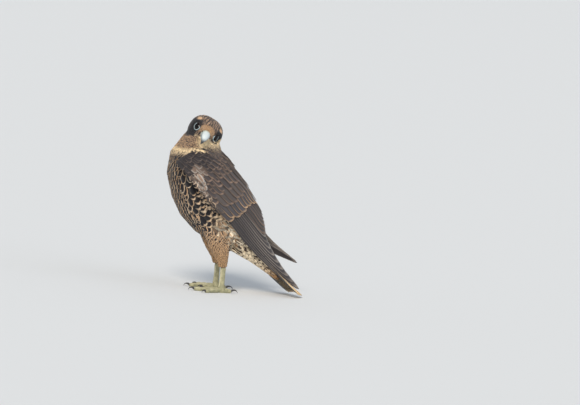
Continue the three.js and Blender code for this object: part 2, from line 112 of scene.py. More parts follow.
turn, drop, tilt = map(math.radians, (HEAD_TURN, HEAD_DROP, HEAD_TILT))
head_forward = Vector((-math.cos(turn) * math.cos(drop), -math.sin(turn) * math.cos(drop), -math.sin(drop)))
level = Vector((0, 0, 1)).cross(head_forward).normalized()
head_left = level * math.cos(tilt) - head_forward.cross(level) * math.sin(tilt)
head_axes = np.array([head_forward, head_left, head_forward.cross(head_left)])


def from_head(x, y, z):
    """A point of the head's own frame, forward, left and up, in the solids' millimetres."""
    return HEAD_CENTRE + np.array([x, y, z], float) @ head_axes


def to_head(points):
    """Points in the solids' millimetres, seen in the head's own frame."""
    return (points - HEAD_CENTRE) @ head_axes.T


eye_box = np.array(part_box("eye_left"), float)
shift = eye_box.mean(axis=0) / MM - from_head(*EYE_PLACE)
print("solids were moved by, mm:", np.round(shift, 2))


def to_frame(points):
    """Millimetres of the bird's own sizes to metres of the frame."""
    return (np.asarray(points, float) + shift) * MM


def from_frame(points):
    """Metres of the frame to millimetres of the bird's own sizes."""
    return points / MM - shift


# %% [markdown]
# The camera sees the bird from its left and a little from the front. A pixel of the photograph is
# 1.75 mm at the bird, and the frame's middle falls on a point above the tail. The picture is rolled by
# a few degrees, as the photograph slopes down to the right. The long lens keeps the shapes flat.

# %% Camera
PHOTO_WIDTH = 580
MM_PER_PIXEL = 1.75
CAMERA_AZIMUTH = -12.0
CAMERA_HEIGHT = 5.2
CAMERA_ROLL = 6.0
CAMERA_DISTANCE = 5.0
SENSOR_WIDTH = 36.0
FLOOR_REACH = 300.0
TAIL_TIP_PIXEL = (302.0, 297.0)
FRAME_MIDDLE = (290.0, 202.5)
azimuth, height, roll = map(math.radians, (CAMERA_AZIMUTH, CAMERA_HEIGHT, CAMERA_ROLL))
back = Vector((math.sin(azimuth) * math.cos(height), -math.cos(azimuth) * math.cos(height), math.sin(height)))
level_right = Vector((math.cos(azimuth), math.sin(azimuth), 0))
level_up = back.cross(level_right)
right = level_right * math.cos(roll) + level_up * math.sin(roll)
upward = level_up * math.cos(roll) - level_right * math.sin(roll)
aim = Vector(to_frame((0, 0, 0)))
aim += right * (FRAME_MIDDLE[0] - TAIL_TIP_PIXEL[0]) * MM_PER_PIXEL * MM
aim += upward * (TAIL_TIP_PIXEL[1] - FRAME_MIDDLE[1]) * MM_PER_PIXEL * MM
camera_data = bpy.data.cameras.new("camera")
camera_data.sensor_width = SENSOR_WIDTH
camera_data.lens = SENSOR_WIDTH * CAMERA_DISTANCE / (PHOTO_WIDTH * MM_PER_PIXEL * MM)
camera_data.clip_end = FLOOR_REACH + 100
camera = bpy.data.objects.new("camera", camera_data)
bpy.context.scene.collection.objects.link(camera)
bpy.context.scene.camera = camera
turned_camera = Matrix((right, upward, back)).transposed().to_4x4()
camera.matrix_world = Matrix.Translation(aim + back * CAMERA_DISTANCE) @ turned_camera
print("lens", round(camera_data.lens, 1), "mm")

# %% [markdown]
# Every colour below is written as an sRGB hex value, as a paint chart gives it. Blender mixes light in
# linear values, so one function turns hex into linear.


# %% Colour and node helpers
def linear(hex_value):
    """An sRGB hex colour as four linear values."""
    values = [int(hex_value[i:i + 2], 16) / 255 for i in (1, 3, 5)]
    return [v / 12.92 if v <= 0.04045 else ((v + 0.055) / 1.055) ** 2.4 for v in values] + [1.0]


def add_node(tree, kind, settings=None, inputs=None):
    """Adds a node, makes its settings, and gives each input a plain value or a link."""
    node = tree.nodes.new(kind)
    for name, value in (settings or {}).items():
        setattr(node, name, value)
    for name, value in (inputs or {}).items():
        if isinstance(value, bpy.types.NodeSocket):
            tree.links.new(value, node.inputs[name])
        else:
            node.inputs[name].default_value = value
    return node


def new_material(name, inputs):
    """A material, its node tree and its one shader."""
    material = bpy.data.materials.new(name)
    material.use_nodes = True
    tree = material.node_tree
    tree.nodes.clear()
    shader = add_node(tree, "ShaderNodeBsdfPrincipled", inputs=inputs)
    add_node(tree, "ShaderNodeOutputMaterial", inputs={"Surface": shader.outputs["BSDF"]})
    return material, tree, shader


def math_node(tree, operation, *values):
    """One step of arithmetic on sockets or plain numbers."""
    return add_node(tree, "ShaderNodeMath", {"operation": operation}, dict(enumerate(values))).outputs[0]


def step_mask(tree, value, start, end):
    """0 below start, 1 above end, smooth between."""
    node = add_node(tree, "ShaderNodeMapRange", {"interpolation_type": "SMOOTHSTEP"},
                    {"Value": value, "From Min": start, "From Max": end})
    return node.outputs["Result"]


def paint(tree, shader, share, first, second, blend="MIX"):
    """Colours the shader with a mix of two colours."""
    node = add_node(tree, "ShaderNodeMix", {"data_type": "RGBA", "blend_type": blend},
                    {0: share, 6: first, 7: second})
    tree.links.new(node.outputs[2], shader.inputs["Base Color"])


def add_bump(tree, shader, height, strength, distance):
    """Gives the shader a fine relief; distance is its depth in metres."""
    bump = add_node(tree, "ShaderNodeBump",
                    inputs={"Strength": strength, "Distance": distance, "Height": height})
    tree.links.new(bump.outputs["Normal"], shader.inputs["Normal"])


# %% [markdown]
# A feather is keratin, like a fingernail: hundreds of barbs hooked side by side on a shaft, dull with a
# faint silky gloss. Its pigment is laid down in a pattern as it grows: a dark middle that leaves a pale
# fringe, or a dark streak along the shaft. One material can carry both, because each feather stores its
# two colours and three numbers for its marks, and a map that runs across and along it.


# %% Feather material
BARB_SPACING = 0.035  # of the vane's length; real barbs, at 0.3 mm, are too fine to show
BARB_SLANT = 6.0
STREAK_SOFT = 0.08
FRINGE_SOFT = 0.035
SHAFT_SHADE = 0.78


def feather_material(name, gloss):
    """A dull silky vane with soft-edged marks; the ridges of its barbs catch the light."""
    material, tree, shader = new_material(name, {
        "Roughness": 0.62, "IOR": 1.5, "Specular IOR Level": gloss,
        "Sheen Weight": 0.12, "Sheen Roughness": 0.5,
    })
    times, plus, minus = (partial(math_node, tree, kind) for kind in ("MULTIPLY", "ADD", "SUBTRACT"))
    pale, dark, marks = (
        add_node(tree, "ShaderNodeAttribute", {"attribute_name": stored}).outputs["Color"]
        for stored in ("pale", "dark", "marks"))
    streak, fringe, chance = add_node(tree, "ShaderNodeSeparateColor", inputs={"Color": marks}).outputs
    vane = add_node(tree, "ShaderNodeUVMap", {"uv_map": "Vane"}).outputs["UV"]
    web, along, _ = add_node(tree, "ShaderNodeSeparateXYZ", inputs={"Vector": vane}).outputs
    across = times(math_node(tree, "ABSOLUTE", minus(web, 0.5)), 2.0)
    # the shaft streak narrows towards the tip, and the fringe runs round the tip
    narrowing = minus(1.12, times(math_node(tree, "POWER", along, 3.0), 0.3))
    in_streak = step_mask(tree, minus(times(streak, narrowing), across), -STREAK_SOFT, STREAK_SOFT)
    rim = plus(fringe, times(times(across, fringe), 0.9))
    before_tip = step_mask(tree, minus(minus(1.0, along), rim), -FRINGE_SOFT, FRINGE_SOFT)
    # no two feathers are the same age, so their lightness differs a little; the shaft is darker
    age = add_node(tree, "ShaderNodeMapRange", inputs={"Value": chance, "To Min": 0.82, "To Max": 1.16})
    shaft = plus(times(step_mask(tree, across, 0.03, 0.09), 1 - SHAFT_SHADE), SHAFT_SHADE)
    shade = times(age.outputs["Result"], shaft)
    shades = [add_node(tree, "ShaderNodeVectorMath", {"operation": "SCALE"}, {0: pigment, "Scale": shade})
              for pigment in (pale, dark)]
    paint(tree, shader, times(in_streak, before_tip), shades[0].outputs[0], shades[1].outputs[0])
    barbs = minus(times(along, 1 / BARB_SPACING), times(across, BARB_SLANT))
    add_bump(tree, shader, math_node(tree, "SINE", times(barbs, math.tau)), 0.25, 0.2 * MM)
    return material


# soft body feathers look matt, and stiff flight feathers have a slight gloss along the vane
contour_vane = feather_material("keratin_contour_feather", 0.25)
flight_vane = feather_material("keratin_flight_feather", 0.4)
print("feather materials made")

# %% [markdown]
# The pigments of a first-year bird are browner and warmer than an adult's: dark umber above with buff
# fringes, buff below with near-black streaks, cream on the throat and under the tail.

# %% Pigments
UMBER = linear("#3f393a")
SLATE = linear("#49464a")
GREY_BROWN = linear("#514a48")
INK = linear("#1a181d")
SOOT = linear("#272427")
CHESTNUT = linear("#46352b")
BUFF = linear("#d4ae88")
WARM_BUFF = linear("#c1925f")
CREAM = linear("#ecd0a6")
PALE = linear("#eadcc4")
FRINGE = linear("#8d7666")
GREY_FRINGE = linear("#9a9087")
# pale grey of painted sheen, where feathers catch the light
SHEEN_GREY = linear("#b7aca2")


def smooth(value, start, end):
    """0 below start, 1 above end, smooth between, for many numbers at once."""
    share = np.clip((np.asarray(value, float) - start) / (end - start), 0, 1)
    return share * share * (3 - 2 * share)


def blend_in(base, weight, value):
    """Mixes a colour or number over the rows of a table, by a weight for each row."""
    weight = np.asarray(weight)[:, None]
    return base * (1 - weight) + np.array(value) * weight


class Plumage:
    """Pale and dark pigment, streak width and tip fringe of many feathers, one row for each."""

    def __init__(self, count, pale, dark, streak, fringe):
        self.pale = np.tile(np.array(pale), (count, 1))
        self.dark = np.tile(np.array(dark), (count, 1))
        self.streak = np.full((count, 1), float(streak))
        self.fringe = np.full((count, 1), float(fringe))

    def lay(self, weight, **look):
        """Lays pigments or marks over those that are there."""
        for name, value in look.items():
            setattr(self, name, blend_in(getattr(self, name), np.clip(weight, 0, 1), value))
        return self

    def picked(self, pick):
        """The same pigments and marks for some of the feathers."""
        part = Plumage(0, UMBER, UMBER, 0, 0)
        for name, values in vars(self).items():
            setattr(part, name, values[pick])
        return part

    def marks(self, chance):
        """The numbers that the shader reads."""
        return np.concatenate([self.streak, self.fringe, chance[:, None], np.ones_like(self.streak)], 1)


def head_plumage(points):
    """Markings of the head, by place in the head's own frame."""
    x, left, z = to_head(points).T
    y = np.abs(left)

    def spot(cx, cy, cz, rx, ry, rz, soft=0.35):
        """1 inside an egg shape given by its centre and reach, 0 outside."""
        far = np.sqrt(((x - cx) / rx) ** 2 + ((y - cy) / ry) ** 2 + ((z - cz) / rz) ** 2)
        return 1 - smooth(far, 1 - soft, 1 + soft)

    worn = random_draw.random(len(points))
    coat = Plumage(len(points), linear("#c3a184"), UMBER, 0.35, 0.02)
    coat.lay((worn > 0.72) * 0.7, dark=BUFF)
    # dark broken lines run back over the crown
    line = np.sin(math.tau * (left / 3.6 + 0.3 * np.sin(x / 3.1 + y / 2.3)))
    broken = np.sin(x / 1.9 + 2.2 * np.sin(left / 2.7))
    coat.lay(smooth(line + 0.45 * broken, -0.25, 0.35), pale=UMBER, dark=SOOT, streak=0.9)
    # cream throat, streaked nape and sides of the neck, plain warm forehead
    coat.lay(smooth(-z, 2, 10), pale=CREAM, dark=UMBER, streak=0.14)
    coat.lay(smooth(-x, 14, 22), pale=BUFF, dark=UMBER, streak=0.6, fringe=0.08)
    coat.lay(spot(-16, 24, -6, 16, 14, 12), pale=BUFF, dark=SOOT, streak=0.6)
    coat.lay(spot(20, 0, 7, 7, 11, 7), pale=linear("#cfa67a"), dark=linear("#7d6149"), streak=0.35)
    # dark surround of the eye with a pale spot over it, then the dark cheek and moustache
    coat.lay(spot(6, 21, 4, 14, 12, 12, 0.2), pale=SOOT, dark=INK, streak=0.8, fringe=0.03)
    coat.lay(spot(5, 20.5, 14.8, 4.6, 4.6, 3.6), pale=linear("#e8bf95"), dark=FRINGE, streak=0.15)
    coat.lay(spot(2, 23, -6, 11, 9, 12, 0.25), pale=SOOT, dark=INK, streak=0.8, fringe=0.03)
    coat.lay(spot(8, 18, -12, 8, 9, 14, 0.25), pale=SOOT, dark=INK, streak=0.75, fringe=0.05)
    # grey-brown ear feathers behind the eye, and the broken lower end of the moustache
    coat.lay(spot(-5, 24, -2, 8, 9, 8, 0.45) * (0.35 + 0.5 * worn), pale=UMBER, dark=GREY_BROWN)
    coat.lay(spot(2, 20, -18, 10, 7, 6, 0.4) * (worn > 0.4), pale=UMBER, dark=INK, streak=0.7)
    # cream behind the moustache and on the chin, buff between bill and eye
    coat.lay(spot(-17, 22, -17, 8, 9, 8), pale=CREAM, dark=UMBER, streak=0.25)
    coat.lay(spot(14, 0, -16, 14, 10, 10), pale=PALE, dark=BUFF, streak=0.1)
    coat.lay(spot(18, 9, 4, 5, 5, 5, 0.3), pale=BUFF, dark=CHESTNUT, streak=0.3)
    return coat


def body_plumage(points, station, angle):
    """Markings of the body: station runs 0 at the neck to 1 at the tail, angle 0 at the belly to 180."""
    x, y, z = points.T
    worn = random_draw.random(len(points))
    coat = Plumage(len(points), BUFF, INK, 0.66, 0.0)
    coat.lay(worn * 0.5, pale=PALE)
    # flanks: drop-shaped marks grow into bold dark marks with pale rims
    drops = smooth(angle, 30, 40) * smooth(station, 0.1, 0.2)
    coat.lay(drops, streak=0.62, fringe=0.07)
    flank = smooth(angle + 14 * (worn - 0.5), 44, 62) * smooth(station, 0.16, 0.3)
    coat.lay(flank, streak=1.3)
    coat.fringe += (flank * (0.06 + 0.09 * worn))[:, None]
    coat.lay(flank * smooth(station, 0.34, 0.46) * 0.6, pale=CREAM)
    # pale fluff shows under the wing's edge behind the legs
    fluff = smooth(station, 0.42, 0.49) * smooth(angle, 46, 66)
    coat.lay(fluff, pale=linear("#f6e6cc"), dark=BUFF, streak=0.2, fringe=0.08)
    # behind the legs: plain warm buff, then cream with small dark marks under the tail
    coat.lay(smooth(station, 0.48, 0.54) * (1 - fluff), pale=WARM_BUFF, dark=UMBER, streak=0.3, fringe=0.14)
    coat.lay(smooth(station, 0.56, 0.63), pale=PALE, dark=CHESTNUT, streak=0.1, fringe=0.1)
    coat.lay(smooth(station, 0.6, 0.66), pale=linear("#f7e2c0"), dark=CHESTNUT, streak=0.38, fringe=0.22)
    coat.lay(smooth(station, 0.78, 0.92), pale=WARM_BUFF)
    # cream collar under the face, with scaly brown feathers above it on the turned neck
    coat.lay(1 - smooth(station, 0.085, 0.12), pale=linear("#f6dcb0"), dark=UMBER, streak=0.05, fringe=0.06)
    turned = smooth(z, 245, 253) * smooth(-x, 214, 224)
    nape = (1 - smooth(station, 0.1, 0.14)) * smooth(y, -8, 14) * (1 - 0.6 * smooth(-x, 225, 240))
    coat.lay(np.maximum(turned, nape), pale=BUFF, dark=UMBER, streak=0.62, fringe=0.12)
    upper_side = smooth(angle, 88, 100) * smooth(station, 0.03, 0.1)
    coat.lay(upper_side, pale=FRINGE, dark=GREY_BROWN, streak=0.9, fringe=0.07)
    return coat


# %% [markdown]
# Every piece is a mesh made from arrays. These helpers build, link and soften meshes, and store what
# the materials read: colours and maps.


# %% Mesh helpers
def mesh_from(name, points, faces):
    """A mesh from points and faces."""
    mesh = bpy.data.meshes.new(name)
    mesh.from_pydata([tuple(p) for p in points], [], faces)
    mesh.update()
    return mesh


def mesh_from_work(name, work):
    """A mesh from a work mesh, which is freed."""
    mesh = bpy.data.meshes.new(name)
    work.to_mesh(mesh)
    work.free()
    return mesh


def finish_mesh(mesh, material=None):
    """Makes a mesh smooth and puts it in its one material."""
    mesh.materials.clear()
    if material:
        mesh.materials.append(material)
    mesh.shade_smooth()


def link_piece(name, mesh, material=None):
    """Links a mesh into the scene, smooth and in its material."""
    finish_mesh(mesh, material)
    piece = bpy.data.objects.new(name, mesh)
    bpy.context.scene.collection.objects.link(piece)
    return piece


def joined(name, meshes):
    """One piece from several meshes, which are used up."""
    work = bmesh.new()
    for mesh in meshes:
        work.from_mesh(mesh)
        bpy.data.meshes.remove(mesh)
    return link_piece(name, mesh_from_work(name, work))


def swollen(mesh, amount=0.0):
    """The same mesh, welded, turned outward and swollen by an amount in metres."""
    work = bmesh.new()
    work.from_mesh(mesh)
    bmesh.ops.remove_doubles(work, verts=work.verts, dist=1e-6)
    bmesh.ops.recalc_face_normals(work, faces=work.faces)
    work.normal_update()
    for vertex in work.verts:
        vertex.co += vertex.normal * amount
    work.to_mesh(mesh)
    work.free()
    return mesh


def remeshed(piece, voxel, factor, passes):
    """Rebuilds a piece as one closed even net, then softens it."""
    remesh = piece.modifiers.new("one_net", "REMESH")
    remesh.mode = "VOXEL"
    remesh.voxel_size = voxel * MM
    soften = piece.modifiers.new("soften", "SMOOTH")
    soften.factor = factor
    soften.iterations = passes
    graph = bpy.context.evaluated_depsgraph_get()
    old, piece.data = piece.data, bpy.data.meshes.new_from_object(piece.evaluated_get(graph))
    piece.modifiers.clear()
    bpy.data.meshes.remove(old)
    return piece


def vectors_of(mesh, name):
    """Places or normals of a mesh's points, by the name of the value."""
    values = np.empty(len(mesh.vertices) * 3)
    mesh.vertices.foreach_get(name, values)
    return values.reshape(-1, 3)


def tree_of(mesh):
    """A search tree for rays and nearest places."""
    faces = [tuple(face.vertices) for face in mesh.polygons]
    return BVHTree.FromPolygons([point.co.copy() for point in mesh.vertices], faces)


def store_colours(mesh, name, values):
    """Four numbers for every point."""
    layer = mesh.color_attributes.new(name, "FLOAT_COLOR", "POINT")
    layer.data.foreach_set("color", values.ravel().astype(np.float32))


def store_map(mesh, name, values):
    """A map from two numbers for every point."""
    corners = np.empty(len(mesh.loops), np.int32)
    mesh.loops.foreach_get("vertex_index", corners)
    layer = mesh.uv_layers.new(name=name)
    layer.data.foreach_set("uv", values[corners].ravel().astype(np.float32))


def ball(work, radius, place=(0, 0, 0), segments=24, rings=16):
    """Adds a ball to a work mesh."""
    made = bmesh.ops.create_uvsphere(work, u_segments=segments, v_segments=rings, radius=radius)
    bmesh.ops.translate(work, vec=Vector(place), verts=made["verts"])


def loft_faces(rings, sides):
    """Faces of a tube of rings, closed at both ends."""
    faces = []
    for first in range(0, (rings - 1) * sides, sides):
        for i in range(sides):
            a, b = first + i, first + (i + 1) % sides
            faces.append((a, b, b + sides, a + sides))
    faces.append(tuple(range(sides))[::-1])
    faces.append(tuple(range((rings - 1) * sides, rings * sides)))
    return faces


# %% [markdown]
# Under the feathers the flesh is one body. The solids are parted by thin cuts, so their copies are
# swollen by half a millimetre to close the cuts, joined, and remeshed into one skin, which is then
# drawn in by the depth of the coat. Sculpting it by hand would also work, but would not keep the sizes.


# %% Skin
SKIN_VOXEL = 1.5
SWELL = 0.5
COAT_DEPTH = 2.1
HEAD_COAT_DEPTH = 1.2
HEAD_BLEND = (30, 42)  # from the head's middle, where its thin coat grows into the body's
FLESH = ["head", "neck", "torso", "thigh_left", "thigh_right"]
TAIL_BASE_ROW = 7
TAIL_BASE_SIDES = 40
RING_POWER = 2 / 2.2  # a little squarer than an ellipse
BROW_REACH = np.array([11.0, 5.0, 4.4])
BROW_PLACE = (11.0, 17.0, 11.4)
BROW_TURN = 62.0


def tail_base():
    """The flesh of the tail's root, which the solids hold inside the tail's node."""
    angle = np.arange(TAIL_BASE_SIDES) / TAIL_BASE_SIDES * math.tau
    c, s = np.cos(angle), np.sin(angle)
    rings = []
    for row in range(TAIL_BASE_ROW, len(TRUNK)):
        x, z, side, top, bottom = TRUNK[row]
        before, after = TRUNK[row - 1], TRUNK[min(row + 1, len(TRUNK) - 1)]
        along = np.array([after[0] - before[0], 0, after[1] - before[1]])
        along /= np.linalg.norm(along)
        outward = np.array([-along[2], 0, along[0]])
        aside = np.sign(c) * np.abs(c) ** RING_POWER * side
        rise = np.sign(s) * np.abs(s) ** RING_POWER * np.where(s > 0, top, bottom)
        rings.append(np.array([x, 0, z]) + aside[:, None] * np.array([0, 1, 0]) + rise[:, None] * outward)
    return mesh_from("tail_base", to_frame(np.concatenate(rings)), loft_faces(len(rings), TAIL_BASE_SIDES))


def brow_ridge(side):
    """The bone over the eye, which gives a falcon its frown."""
    work = bmesh.new()
    ball(work, 1.0)
    turned = math.radians(-BROW_TURN * side)
    ahead = np.array([math.cos(turned), math.sin(turned), 0.0])
    aside = np.array([-math.sin(turned), math.cos(turned), 0.0])
    for vertex in work.verts:
        local = np.array(vertex.co) * BROW_REACH
        place = ahead * local[0] + aside * local[1] + np.array([0, 0, local[2]])
        vertex.co = to_frame(from_head(*(place + np.array(BROW_PLACE) * (1, side, 1))))
    return mesh_from_work("brow_ridge", work)


def make_skin():
    """One soft skin, drawn in so that the coat fits inside the solids."""
    parts = [swollen(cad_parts[name].data.copy(), SWELL * MM) for name in FLESH]
    parts.append(swollen(tail_base(), SWELL * MM))
    parts += [brow_ridge(side) for side in (-1, 1)]
    piece = remeshed(joined("skin", parts), SKIN_VOXEL, 0.6, 8)
    places, normals = vectors_of(piece.data, "co"), vectors_of(piece.data, "normal")
    on_head = 1 - smooth(np.linalg.norm(to_head(from_frame(places)), axis=1), *HEAD_BLEND)
    depth = COAT_DEPTH + SWELL - (COAT_DEPTH - HEAD_COAT_DEPTH) * on_head
    piece.data.vertices.foreach_set("co", (places - normals * (depth * MM)[:, None]).ravel())
    piece.data.update()
    return piece


skin = make_skin()
skin_tree = tree_of(skin.data)
print("skin faces", len(skin.data.polygons))

# %% [markdown]
# A body feather is modelled as a thin closed blade: three points across, so it has a raised shaft and two
# sloping webs, and six stations along. Its root lies on the skin and its tip rides up over the roots of
# the feathers behind, like roof tiles. Every point is dropped onto the skin and lifted by its place
# along the feather, so that a feather follows the body's curve. Thousands of them are worked out at
# once as one array and joined as one mesh, because separate objects would be slow.

# %% Feathers on the skin
BLADE_STATIONS = np.array([0.0, 0.22, 0.48, 0.74, 0.92, 1.0])
BLADE_BREADTH = np.array([0.35, 0.8, 1.0, 0.92, 0.6, 0.12])
BLADE_COLUMNS = np.array([-1.0, 0.0, 1.0])
PATCH = 0.003  # breadth of one feather's place in the map for baking


def on_skin(points):
    """Nearest places and normals on the skin, in metres."""
    nearest = [skin_tree.find_nearest(point)[:2] for point in points]
    return np.array([place for place, _ in nearest]), np.array([normal for _, normal in nearest])


def on_map(margin, *shares):
    """Place of each feather in the map for baking, kept off its edges."""
    return margin + (1 - 2 * margin) * np.stack(shares, 1)


def unit(vectors):
    """The same directions with a length of one."""
    return vectors / np.maximum(np.linalg.norm(vectors, axis=-1, keepdims=True), 1e-9)


def blade_mesh(name, grid, across, along, coat, chance, bake_place, material):
    """One piece of many feathers from a grid: feather, station, point of the ring, xyz."""
    count, stations, columns, _ = grid.shape
    per_feather = stations * columns
    faces = loft_faces(stations, columns)
    first = (np.arange(count) * per_feather)[:, None, None]
    quads, ends = np.array(faces[:-2]) + first, np.array(faces[-2:]) + first
    corners = np.concatenate([quads.ravel(), ends.ravel()])
    sizes = np.concatenate([np.full(quads.size // 4, 4), np.full(ends.size // columns, columns)])
    mesh = bpy.data.meshes.new(name)
    mesh.vertices.add(count * per_feather)
    mesh.vertices.foreach_set("co", grid.ravel())
    mesh.loops.add(len(corners))
    mesh.loops.foreach_set("vertex_index", corners.astype(np.int32))
    mesh.polygons.add(len(sizes))
    starts = np.concatenate([[0], np.cumsum(sizes)[:-1]])
    mesh.polygons.foreach_set("loop_start", starts.astype(np.int32))
    mesh.update(calc_edges=True)
    vane_map = np.stack(np.broadcast_arrays((across + 1) / 2, along[:, None]), -1)
    vane_map = np.tile(vane_map.reshape(-1, 2), (count, 1))
    store_map(mesh, "OFBake", np.repeat(bake_place, per_feather, axis=0) + (vane_map - 0.5) * PATCH)
    store_map(mesh, "Vane", vane_map)
    for stored, values in (("pale", coat.pale), ("dark", coat.dark), ("marks", coat.marks(chance))):
        store_colours(mesh, stored, np.repeat(values, per_feather, axis=0))
    mesh.validate()
    return link_piece(name, mesh, material)


def feathers_on_skin(name, roots, lie, length, width, coat, bake_place, lift=(0.25, 1.9), ridge=0.25,
                     surface=on_skin):
    """Feathers rooted on the skin, in metres; length, width, lift and ridge are in millimetres."""
    normals = on_skin(roots)[1]
    lie = unit(lie - (lie * normals).sum(1, keepdims=True) * normals)
    side = np.cross(normals, lie)
    reach = BLADE_STATIONS * (length * MM)[:, None]
    half = BLADE_BREADTH * (width * MM / 2)[:, None]
    flat = roots[:, None, None] + lie[:, None, None] * reach[:, :, None, None]
    flat = flat + side[:, None, None] * (half[:, :, None] * BLADE_COLUMNS)[..., None]
    places, skin_normals = surface(flat.reshape(-1, 3))
    chance = random_draw.random(len(roots))
    raised = lift[0] + (lift[1] - lift[0]) * BLADE_STATIONS[:, None]
    raised = raised + ridge * BLADE_BREADTH[:, None] * (1 - np.abs(BLADE_COLUMNS))
    raised = raised * (0.85 + 0.3 * chance)[:, None, None]
    grid = places.reshape(flat.shape) + skin_normals.reshape(flat.shape) * (raised * MM)[..., None]
    print(name, len(roots), "feathers")
    return blade_mesh(name, grid, BLADE_COLUMNS, BLADE_STATIONS, coat, chance, bake_place, contour_vane)


# %% [markdown]
# The body's feathers grow in tracts. Rays from its middle line, at even steps along and round it, give
# the roots. The breast's feathers stand in straight files, which makes its long streaks, and all others
# are staggered like scales.

# %% Body feathers
TRUNK_STEPS = np.concatenate([[0], np.cumsum(np.linalg.norm(np.diff(TRUNK[:, :2], axis=0), axis=1))])
TRUNK_LENGTH = TRUNK_STEPS[-1]
HALF_ROUND = 150.0
AHEAD = 12.0
RAY_REACH = 0.12
THIGH_ROOM = 4.0
SIZE_JITTER = 0.08
LIE_JITTER = 0.09
UPTURN = 0.35
SIZE_STATIONS = [0, 0.15, 0.5, 0.8, 1]
# name, first and last station, spacing along and round, angles, stagger, lengths, widths
BODY_TRACTS = [
    ("collar", (0.0, 0.13, 2.3, 2.5, -4, 182, 0.5), (8, 10, 10, 10, 10), (3, 3.8, 4, 4, 4)),
    ("breast", (0.11, 0.6, 4.8, 5.4, -4, 43, 0.0), (9, 14, 21, 22, 22), (7, 8.2, 9, 9, 9)),
    ("flank", (0.11, 0.62, 7.6, 7.4, 38, 100, 0.5), (10, 17, 25, 26, 26), (7, 11, 14, 14, 14)),
    ("back", (0.1, 0.8, 7.2, 7.2, 96, 182, 0.5), (10, 16, 25, 26, 24), (6, 11, 14, 14, 12)),
    ("vent", (0.54, 0.97, 8.2, 6.4, -4, 184, 0.5), (9, 14, 24, 27, 25), (6, 9, 13, 13, 11)),
]


def trunk_frame(station):
    """Axis point, direction and outward direction of the body at shares of its length."""
    place = np.asarray(station) * TRUNK_LENGTH
    (x, z), (x_on, z_on), (x_off, z_off) = (
        [np.interp(place + step, TRUNK_STEPS, TRUNK[:, column]) for column in (0, 1)]
        for step in (0, AHEAD, -AHEAD))
    level_way = np.zeros_like(x)
    along = unit(np.stack([x_on - x_off, level_way, z_on - z_off], 1))
    belly = np.stack([along[:, 2], level_way, -along[:, 0]], 1)
    return np.stack([x, level_way, z], 1), along, belly


def cast(origins, directions, limit=RAY_REACH):
    """Places where rays meet the skin, and which rays did."""
    hits = np.full_like(origins, np.nan)
    for i, (origin, direction) in enumerate(zip(origins, directions)):
        hit = skin_tree.ray_cast(origin, direction, limit)[0]
        if hit is not None:
            hits[i] = hit
    return hits, ~np.isnan(hits[:, 0])


def body_rows(start, end, row_step, column_step, low, high, stagger):
    """A grid of stations and angles round the body; staggered rows look scaly, straight ones streaked."""
    stations, angles = [], []
    rows = int((end - start) * TRUNK_LENGTH / row_step)
    columns = int(HALF_ROUND * (high - low) / 180 / column_step)
    for r in range(rows):
        station = start + (end - start) * (r + 0.5) / rows
        for c in range(columns):
            share = (c + stagger * (r % 2) + 0.25) / columns
            stations.append(station + random_draw.normal(0, 0.15) * row_step / TRUNK_LENGTH)
            angles.append(low + (high - low) * share + random_draw.normal(0, 0.12) * column_step)
    return np.array(stations), np.array(angles)


def body_roots(side, rows, room):
    """Station, angle, place, way along and way round of each root; room limits the rays' length."""
    station, angle = body_rows(*rows)
    axis, along, belly = trunk_frame(station)
    turned = np.radians(angle)[:, None]
    across = np.array([[0.0, side, 0.0]])
    hits, found = cast(to_frame(axis), belly * np.cos(turned) + across * np.sin(turned))
    around = across * np.cos(turned) - belly * np.sin(turned)
    widest = np.interp(station * TRUNK_LENGTH, TRUNK_STEPS, np.max(TRUNK[:, 2:], axis=1))
    found &= np.linalg.norm(hits - to_frame(axis), axis=1) / MM < widest + room
    return [values[found] for values in (station, angle, hits, along, around)]


def body_map(side, angle, station):
    """Round the body, and from the tail up to the neck."""
    return on_map(0.02, 0.5 + side * angle / 360, 1 - station)


def body_feathers(name, side, rows, length, width):
    """One tract; a ray that ends in the thigh is left out, as the thigh has feathers of its own."""
    station, angle, hits, along, around = body_roots(side, rows, THIGH_ROOM)
    coat = body_plumage(from_frame(hits), station, angle)
    size, breadth = np.interp(station, SIZE_STATIONS, length), np.interp(station, SIZE_STATIONS, width)
    size = size * (1 + SIZE_JITTER * random_draw.normal(0, 1, len(size)))
    lie = along + LIE_JITTER * random_draw.normal(0, 1, along.shape)
    # flank feathers turn up towards the wing's edge
    upturn = smooth(angle, 40, 75) * (1 - smooth(angle, 88, 100)) * UPTURN
    lie = lie + around * upturn[:, None]
    return feathers_on_skin(name, hits, lie, size, breadth, coat, body_map(side, angle, station))


coat_pieces = []
for side_name, side in BODY_SIDES:
    for tract, *numbers in BODY_TRACTS:
        coat_pieces.append(body_feathers(f"{tract}_feathers_{side_name}", side, *numbers))

# %% [markdown]
# The head's feathers are the smallest, three to six millimetres long. They run back from the bill and
# part round the eyes. Rays from a ball round the head, spread evenly by the golden angle, give the roots.

# %% Head feathers
HEAD_FEATHERS = 13500
HEAD_PIECES = 3
HEAD_BALL = 42.0
HEAD_RAY = 30.0
BILL_EDGE = 21.5
NECK_EDGE = -0.93
HEAD_LENGTHS = (6.4, 3.0)  # at the back, and how much less at the bill
HEAD_WIDTHS = (2.5, 0.9)
THROAT_DROOP = 0.35
PARTING = 0.7  # how strongly the feathers turn away from the eye
PARTING_REACH = 7.0
PARTING_SOFT = 6.0
EYE_RIM = 7.0
EYE_HOLE = 6.9
eye_centres = {s: from_head(EYE_PLACE[0], s * EYE_PLACE[1], EYE_PLACE[2]) for s in (-1, 1)}


def eye_axis(side):
    """The way an eye looks; side is 1 for the head's own left."""
    spread = math.radians(EYE_OUTWARD)
    return unit(np.array([math.cos(spread), side * math.sin(spread), 0.04]) @ head_axes)


